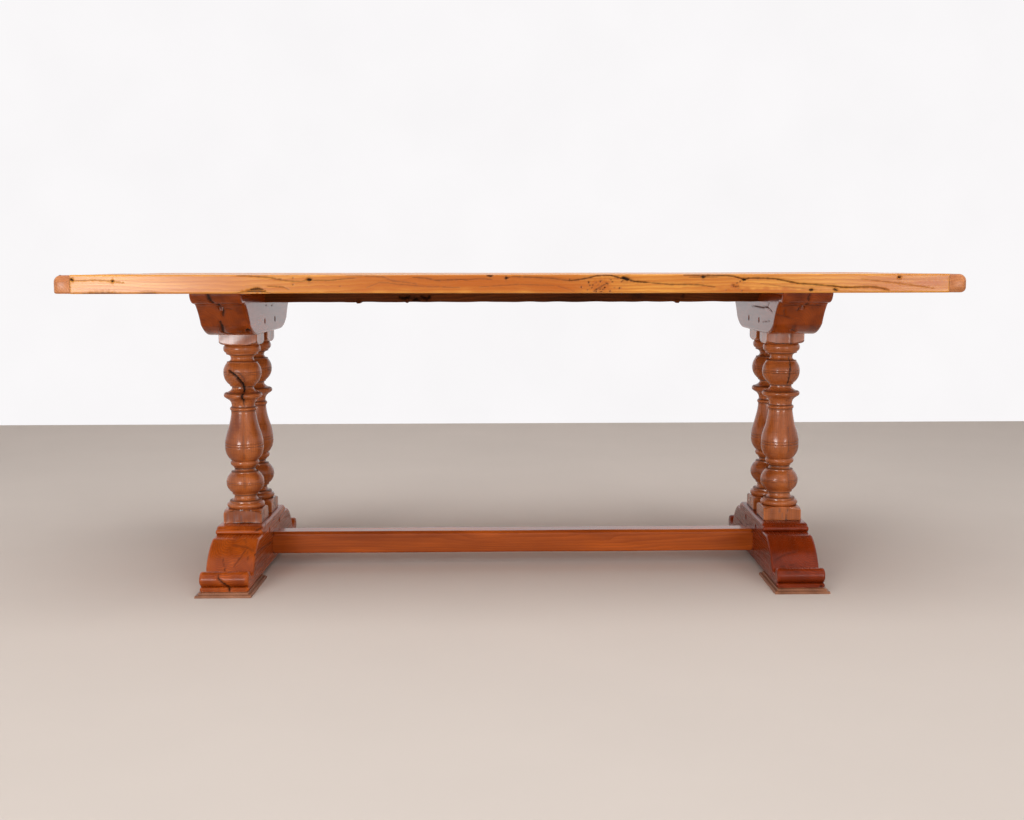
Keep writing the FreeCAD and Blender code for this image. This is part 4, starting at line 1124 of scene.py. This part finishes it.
class TABLE_OT_feet(bpy.types.Operator):
    """Make the sledge feet with their mortises and peg holes"""
    bl_idname = "table.feet"
    bl_label = "Feet"

    # Where the heart of the log lies in each foot, across the table and up.
    hearts = {"left": (-658 * MM, 96 * MM), "right": (762 * MM, 72 * MM)}

    def execute(self, context):
        wear, colours = context.scene.table_wear, context.scene.table_colours
        stretcher_low, stretcher_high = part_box("stretcher")
        middle = (stretcher_low.z + stretcher_high.z) / 2
        half_width, half_height = STRETCHER_MORTISE
        for side, sign in SIGNS.items():
            node = f"foot_{side}"
            low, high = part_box(node)
            loop = two_ended_outline(
                FOOT_END_SHARES, TOE_LENGTH, FOOT_HALF_LENGTH, low.z, high.z - low.z, wear.cell)
            piece = shaped_beam(node, low, high, loop, wear.rounding)
            centre = (low.x + high.x) / 2
            cutters = baluster_mortises(centre, high.z - FOOT_MORTISE, high.z + OVERRUN)
            add_box(cutters, (low.x - OVERRUN, -half_width, middle - half_height),
                    (high.x + OVERRUN, half_width, middle + half_height))
            cut_away(piece, cutters)
            cut_peg_holes(piece, low, high, high.z - FOOT_PEG_DROP)
            weather(piece.data, 51 + sign, wear.unevenness, WAVELENGTHS["foot"], marks_of(node))
            x, z = self.hearts[side]
            light, dark = getattr(colours, f"{side}_foot_light"), getattr(colours, f"{side}_foot_dark")
            wood = waxed_wood(f"red_brown_foot_{side}", "Y", (-x, z, 0.5 * sign), light, dark,
                              **FINISHES["foot"])
            dress(piece, wood, "trestle_wood", node)
        return {"FINISHED"}


class TABLE_OT_balusters(bpy.types.Operator):
    """Turn the balusters and add their square blocks and tenons"""
    bl_idname = "table.balusters"
    bl_label = "Balusters"

    def execute(self, context):
        wear, colours = context.scene.table_wear, context.scene.table_colours
        wood = waxed_wood("orange_brown_turning", "Z", HEARTS["turned"], colours.turned_light,
                          colours.turned_dark, **FINISHES["turned"])
        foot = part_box("foot_left")[1].z
        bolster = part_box("bolster_left")[0].z
        start, stop = foot + BOTTOM_BLOCK, bolster - TOP_BLOCK
        profile = self.profile(start, stop)
        # Painted shade lines where the blocks meet the foot and the bolster, and in the creases between the
        # turned members.
        creases = [foot, bolster] + [start + (stop - start) * share for share in CREASE_SHARES]
        nodes = sorted(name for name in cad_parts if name.startswith("baluster_"))
        for number, node in enumerate(nodes):
            low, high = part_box(node)
            x, y = (low.x + high.x) / 2, (low.y + high.y) / 2
            centre = Vector((x, y, 0.0))
            bm = bmesh.new()
            line = [bm.verts.new((centre.x + point.x, centre.y, point.y)) for point in profile]
            edges = [bm.edges.new(pair) for pair in zip(line, line[1:])]
            bmesh.ops.spin(bm, geom=line + edges, cent=centre, axis=(0, 0, 1), dvec=(0, 0, 0), angle=math.tau,
                           steps=TURNING_STEPS, use_merge=True)
            bmesh.ops.remove_doubles(bm, verts=bm.verts, dist=TOUCH)
            close_up(bm)
            self.add_block(bm, centre, foot, start, 1)
            self.add_block(bm, centre, bolster, stop, -1)
            add_cylinder(bm, TENON_RADIUS, (x, y, low.z), (x, y, foot + OVERLAP), 48)
            add_cylinder(bm, TENON_RADIUS, (x, y, bolster - OVERLAP), (x, y, high.z), 48)
            piece = as_object(bm, f"{node}_turned")
            weather(piece.data, 61 + number, wear.unevenness, WAVELENGTHS["turned"], marks_of(node),
                    SCORE_HEIGHTS, creases)
            dress(piece, wood, "turned_wood", node)
        return {"FINISHED"}

    def profile(self, start, stop):
        """The turned outline from block to block, with points set for the scored lines."""
        rows = scaled(TURNING_SHARES, (0.0, start), (TURNING_RADIUS, stop - start))
        profile = outline_points(rows, PROFILE_STEP)
        for height in SCORE_HEIGHTS:
            index = next(i for i, point in enumerate(profile) if point.y > height)
            before, after = profile[index - 1], profile[index]
            radius = before.lerp(after, (height - before.y) / (after.y - before.y)).x
            profile = [point for point in profile if abs(point.y - height) >= 1.3 * MM]
            for shift in (-SCORE_HALF_WIDTH, 0.0, SCORE_HALF_WIDTH):
                profile.append(Vector((radius, height + shift)))
            profile.sort(key=lambda point: point.y)
        profile.insert(0, Vector((profile[0].x, start - OVERLAP)))
        profile.append(Vector((profile[-1].x, stop + OVERLAP)))
        return profile

    def add_block(self, bm, centre, outer, inner, facing):
        """A square block whose inner face the lathe has rounded down at the corners."""
        half = BLOCK_WIDTH / 2
        block = bmesh.new()
        add_box(block, (centre.x - half, centre.y - half, min(outer, inner)),
                (centre.x + half, centre.y + half, max(outer, inner)))
        bmesh.ops.subdivide_edges(block, edges=block.edges, cuts=BLOCK_CUTS, use_grid_fill=True)
        for vert in block.verts:
            reach = Vector((vert.co.x - centre.x, vert.co.y - centre.y)).length
            share = max(0.0, (reach - half) / (half * 0.45))
            depth = (vert.co.z - outer) / (inner - outer)
            vert.co.z -= facing * BLOCK_CORNER_FALL * share ** 1.74 * depth
        arrises = [edge for edge in block.edges if len(edge.link_faces) == 2 and edge.calc_face_angle() > 0.9]
        round_over(block, arrises, BLOCK_ARRIS, 3)
        merge(bm, block)


class TABLE_OT_pads(bpy.types.Operator):
    """Make the stepped pads under the feet"""
    bl_idname = "table.pads"
    bl_label = "Pads"

    ledge_height = 6 * MM
    ledge_width = 7 * MM
    lower_rounding = 2.6 * MM
    upper_rounding = 1.8 * MM

    def execute(self, context):
        wear, colours = context.scene.table_wear, context.scene.table_colours
        wood = waxed_wood("worn_brown_pad", "Y", HEARTS["pad"], colours.pad_light, colours.pad_dark,
                          **FINISHES["pad"])
        step = Vector((self.ledge_width, self.ledge_width, 0.0))
        nodes = sorted(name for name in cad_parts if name.startswith("foot_pad_"))
        for number, node in enumerate(nodes):
            low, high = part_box(node)
            ledge = low.z + self.ledge_height
            bm = self.slab(low, Vector((high.x, high.y, ledge)), self.lower_rounding)
            upper_low = Vector((*low.xy, ledge - OVERLAP)) + step
            merge(bm, self.slab(upper_low, high - step, self.upper_rounding))
            piece = as_object(bm, f"{node}_worn")
            weather(piece.data, 71 + number, wear.unevenness * 0.6, WAVELENGTHS["pad"])
            for vert in piece.data.vertices:
                vert.co.z = max(vert.co.z, low.z)
            dress(piece, wood, "pad_wood", node)
        return {"FINISHED"}

    def slab(self, low, high, radius):
        """A thin block with its upper edges rounded over."""
        bm = bmesh.new()
        add_box(bm, low, high)
        round_over(bm, edges_at(bm, 2, high.z), radius, 4)
        cut_grid(bm, low, high, PAD_CELLS)
        bmesh.ops.recalc_face_normals(bm, faces=bm.faces)
        return bm


class TABLE_OT_stretcher(bpy.types.Operator):
    """Make the stretcher with its wedged tenons"""
    bl_idname = "table.stretcher"
    bl_label = "Stretcher"

    upper_chamfer = 7 * MM
    lower_chamfer = 3 * MM

    def execute(self, context):
        wear, colours = context.scene.table_wear, context.scene.table_colours
        low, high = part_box("stretcher")
        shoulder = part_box("foot_right")[0].x
        half, top, under = (high.y - low.y) / 2, self.upper_chamfer, self.lower_chamfer
        corners = [(half - under, low.z), (half, low.z + under), (half, high.z - top), (half - top, high.z)]
        corners += [(-y, z) for y, z in reversed(corners)]
        loop = eased_corners(corners, 1.6 * MM, 3 * MM)
        bm = sweep([(-shoulder, y, z) for y, z in loop], Vector((2 * shoulder, 0, 0)), STRETCHER_STEPS)
        middle = (low.z + high.z) / 2
        half_width, half_height = STRETCHER_TENON
        slots = bmesh.new()
        for sign in SIGNS.values():
            reach = sorted((sign * (shoulder - STRETCHER_TENON_ROOT), sign * high.x))
            add_box(bm, (reach[0], -half_width, middle - half_height),
                    (reach[1], half_width, middle + half_height))
            reach = sorted((sign * (high.x - WEDGE_SLOT_LENGTH), sign * (high.x + OVERRUN)))
            for y in WEDGE_PLACES:
                verts = add_box(slots, (reach[0], y - WEDGE_SLOT_HALF, middle - WEDGE_SLOT_HEIGHT),
                                (reach[1], y + WEDGE_SLOT_HALF, middle + WEDGE_SLOT_HEIGHT))
                for vert in verts:
                    if abs(vert.co.x) < high.x - WEDGE_SLOT_LENGTH / 2:
                        vert.co.y = y + (vert.co.y - y) * WEDGE_TAPER_SHARE
        piece = as_object(bm, "stretcher_worn")
        cut_away(piece, slots)
        weather(piece.data, 81, wear.unevenness, WAVELENGTHS["stretcher"], marks_of("stretcher"))
        wood = waxed_wood("red_brown_stretcher", "X", HEARTS["stretcher"], colours.stretcher_light,
                          colours.stretcher_dark, **FINISHES["stretcher"])
        dress(piece, wood, "stretcher_wood", "stretcher")
        return {"FINISHED"}


class TABLE_OT_rail(bpy.types.Operator):
    """Make the rough dark rail under the top"""
    bl_idname = "table.rail"
    bl_label = "Spine rail"

    # The saw left it rougher than the rest.
    unevenness = 0.5 * MM

    def execute(self, context):
        colours = context.scene.table_colours
        low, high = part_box("top_rail")
        corners = [(low.y, low.z), (high.y, low.z), (high.y, high.z), (low.y, high.z)]
        loop = eased_corners(corners, 1.5 * MM, 3.5 * MM)
        bm = sweep([(low.x, y, z) for y, z in loop], Vector((high.x - low.x, 0, 0)), RAIL_STEPS)
        piece = as_object(bm, "top_rail_rough")
        weather(piece.data, 91, self.unevenness, WAVELENGTHS["rail"], marks_of("top_rail"))
        wood = waxed_wood("dark_rough_rail", "X", HEARTS["rail"], colours.rail_light, colours.rail_dark,
                          **FINISHES["rail"])
        dress(piece, wood, "rail_wood", "top_rail")
        return {"FINISHED"}


class TABLE_OT_fasteners(bpy.types.Operator):
    """Finish the pegs, dowels, splines, wedges and screws"""
    bl_idname = "table.fasteners"
    bl_label = "Pegs and screws"

    def execute(self, context):
        colours = context.scene.table_colours
        pegs = {grain: waxed_wood(f"dark_peg_along_{grain.lower()}", grain, HEARTS["peg"],
                                  colours.peg_light, colours.peg_dark, **FINISHES["peg"])
                for grain in "XZ"}
        steel = dull_steel()
        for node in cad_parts:
            if "screws" in node:
                finish_node(node, steel)
            elif node.startswith(("bolster_pegs", "foot_pegs", "stretcher_wedges", "board_spline")):
                finish_node(node, pegs["X"])
            elif node.startswith(("breadboard_pegs", "rail_dowels")):
                finish_node(node, pegs["Z"])
        return {"FINISHED"}


class TABLE_OT_stage(bpy.types.Operator):
    """Set the pale floor and backdrop, the soft lamps and the camera"""
    bl_idname = "table.stage"
    bl_label = "Stage"

    def execute(self, context):
        scene, stage = context.scene, context.scene.table_stage
        upright = Matrix.Translation(BACKDROP_PLACE) @ Matrix.Rotation(math.pi / 2, 4, "X")
        for name, finish, colour, place, glows in (
                ("floor", "pale_concrete_floor", stage.floor, Matrix(), False),
                ("backdrop", "white_backdrop", stage.wall, upright, True)):
            bm = bmesh.new()
            bmesh.ops.create_grid(bm, x_segments=1, y_segments=1, size=STAGE_HALF, matrix=place)
            piece = as_object(bm, name)
            piece.data.materials.append(self.plain(finish, colour, glows))

        world = scene.world or bpy.data.worlds.new("studio")
        scene.world = world
        world.use_nodes = True
        tree = world.node_tree
        tree.nodes.clear()
        colour, strength = ROOM_LIGHT
        room = add(tree, "ShaderNodeBackground", {"Color": colour, "Strength": strength})
        white = add(tree, "ShaderNodeBackground", {"Color": (*stage.wall, 1.0), "Strength": 1.0})
        sky = add(tree, "ShaderNodeMixShader", {
            0: self.seen(tree), 1: room.outputs["Background"], 2: white.outputs["Background"]})
        add(tree, "ShaderNodeOutputWorld", {"Surface": sky.outputs["Shader"]})

        for name, (_, _, size, place, aim) in LAMPS.items():
            lamp = bpy.data.lights.new(name, "AREA")
            lamp.energy = getattr(stage, name)
            lamp.shape = "RECTANGLE"
            lamp.size, lamp.size_y = size
            lamp_object = bpy.data.objects.new(name, lamp)
            lamp_object.location = place
            lamp_object.rotation_euler = (Vector(aim) - Vector(place)).to_track_quat("-Z", "Y").to_euler()
            lamp_object.visible_glossy = name.endswith("card")
            lamp_object.visible_diffuse = not name.endswith("card")
            scene.collection.objects.link(lamp_object)

        camera = bpy.data.cameras.new("camera")
        camera.sensor_width = CAMERA_SENSOR
        camera.lens = CAMERA_LENS
        camera.shift_x = CAMERA_SHIFT
        view = bpy.data.objects.new("camera", camera)
        turn = Matrix.Rotation(CAMERA_YAW, 4, "Z") @ Matrix.Rotation(math.pi / 2 - CAMERA_DIP, 4, "X")
        roll = Matrix.Rotation(CAMERA_ROLL, 4, "Z")
        view.matrix_world = Matrix.Translation(CAMERA_PLACE) @ turn @ roll
        scene.collection.objects.link(view)
        scene.camera = view
        scene.view_settings.view_transform = "Standard"
        return {"FINISHED"}

    def seen(self, tree):
        """1 for what the eye sees, directly or in a shiny or clear surface, and 0 for what only lights."""
        path = add(tree, "ShaderNodeLightPath", {})
        share = path.outputs["Is Camera Ray"]
        for name in ("Is Glossy Ray", "Is Transmission Ray"):
            share = add(tree, "ShaderNodeMath", {
                0: share, 1: path.outputs[name]}, operation="MAXIMUM").outputs["Value"]
        return share

    def plain(self, name, colour, glows):
        """A pale matt stage surface, clear from behind. A glowing one shows its own colour to the eye."""
        material, tree = bare_material(name)
        table = add(tree, "ShaderNodeTexCoord", {}).outputs["Object"]
        # Slight mottling, 400 mm across.
        mottle = add(tree, "ShaderNodeTexNoise", {
            "Vector": table, "Scale": 1 / (400 * MM), "Detail": 5.0}).outputs["Fac"]
        paler = tuple(min(1.0, value * 1.06) for value in colour)
        tone = add(tree, "ShaderNodeMix", {
            0: mottle, 6: (*colour, 1.0), 7: (*paler, 1.0)}, data_type="RGBA").outputs[2]
        surface = add(tree, "ShaderNodeBsdfPrincipled", {
            "Base Color": tone, "Roughness": 0.9, "Specular IOR Level": 0.0}).outputs["BSDF"]
        if glows:
            glow = add(tree, "ShaderNodeEmission", {"Color": tone, "Strength": 1.0}).outputs["Emission"]
            surface = add(tree, "ShaderNodeMixShader", {
                0: self.seen(tree), 1: surface, 2: glow}).outputs["Shader"]
        behind = add(tree, "ShaderNodeNewGeometry", {}).outputs["Backfacing"]
        clear = add(tree, "ShaderNodeBsdfTransparent", {}).outputs["BSDF"]
        surface = add(tree, "ShaderNodeMixShader", {0: behind, 1: surface, 2: clear}).outputs["Shader"]
        add(tree, "ShaderNodeOutputMaterial", {"Surface": surface})
        return material


class TABLE_PT_panel(bpy.types.Panel):
    """Sizes, colours and the steps that make the table"""
    bl_idname = "TABLE_PT_panel"
    bl_label = "Trestle table"
    bl_space_type = "VIEW_3D"
    bl_region_type = "UI"
    bl_category = "Table"

    def draw(self, context):
        layout = self.layout
        for group in (context.scene.table_wear, context.scene.table_colours, context.scene.table_stage):
            box = layout.box()
            for name in group.__annotations__:
                box.prop(group, name)
        for operator in OPERATORS:
            layout.operator(operator.bl_idname)


OPERATORS = (
    TABLE_OT_boards, TABLE_OT_breadboards, TABLE_OT_bolsters, TABLE_OT_balusters, TABLE_OT_feet,
    TABLE_OT_pads, TABLE_OT_stretcher, TABLE_OT_rail, TABLE_OT_fasteners, TABLE_OT_stage,
)
GROUPS = {"table_wear": TableWear, "table_colours": TableColours, "table_stage": TableStage}


def register():
    for cls in (*GROUPS.values(), *OPERATORS, TABLE_PT_panel):
        bpy.utils.register_class(cls)
    for name, group in GROUPS.items():
        setattr(bpy.types.Scene, name, bpy.props.PointerProperty(type=group))


def unregister():
    for name in GROUPS:
        delattr(bpy.types.Scene, name)
    for cls in reversed((*GROUPS.values(), *OPERATORS, TABLE_PT_panel)):
        bpy.utils.unregister_class(cls)


def main():
    register()
    bpy.ops.table.boards()
    bpy.ops.table.breadboards()
    bpy.ops.table.bolsters()
    bpy.ops.table.balusters()
    bpy.ops.table.feet()
    bpy.ops.table.pads()
    bpy.ops.table.stretcher()
    bpy.ops.table.rail()
    bpy.ops.table.fasteners()
    bpy.ops.table.stage()


if __name__ == "__main__":
    main()
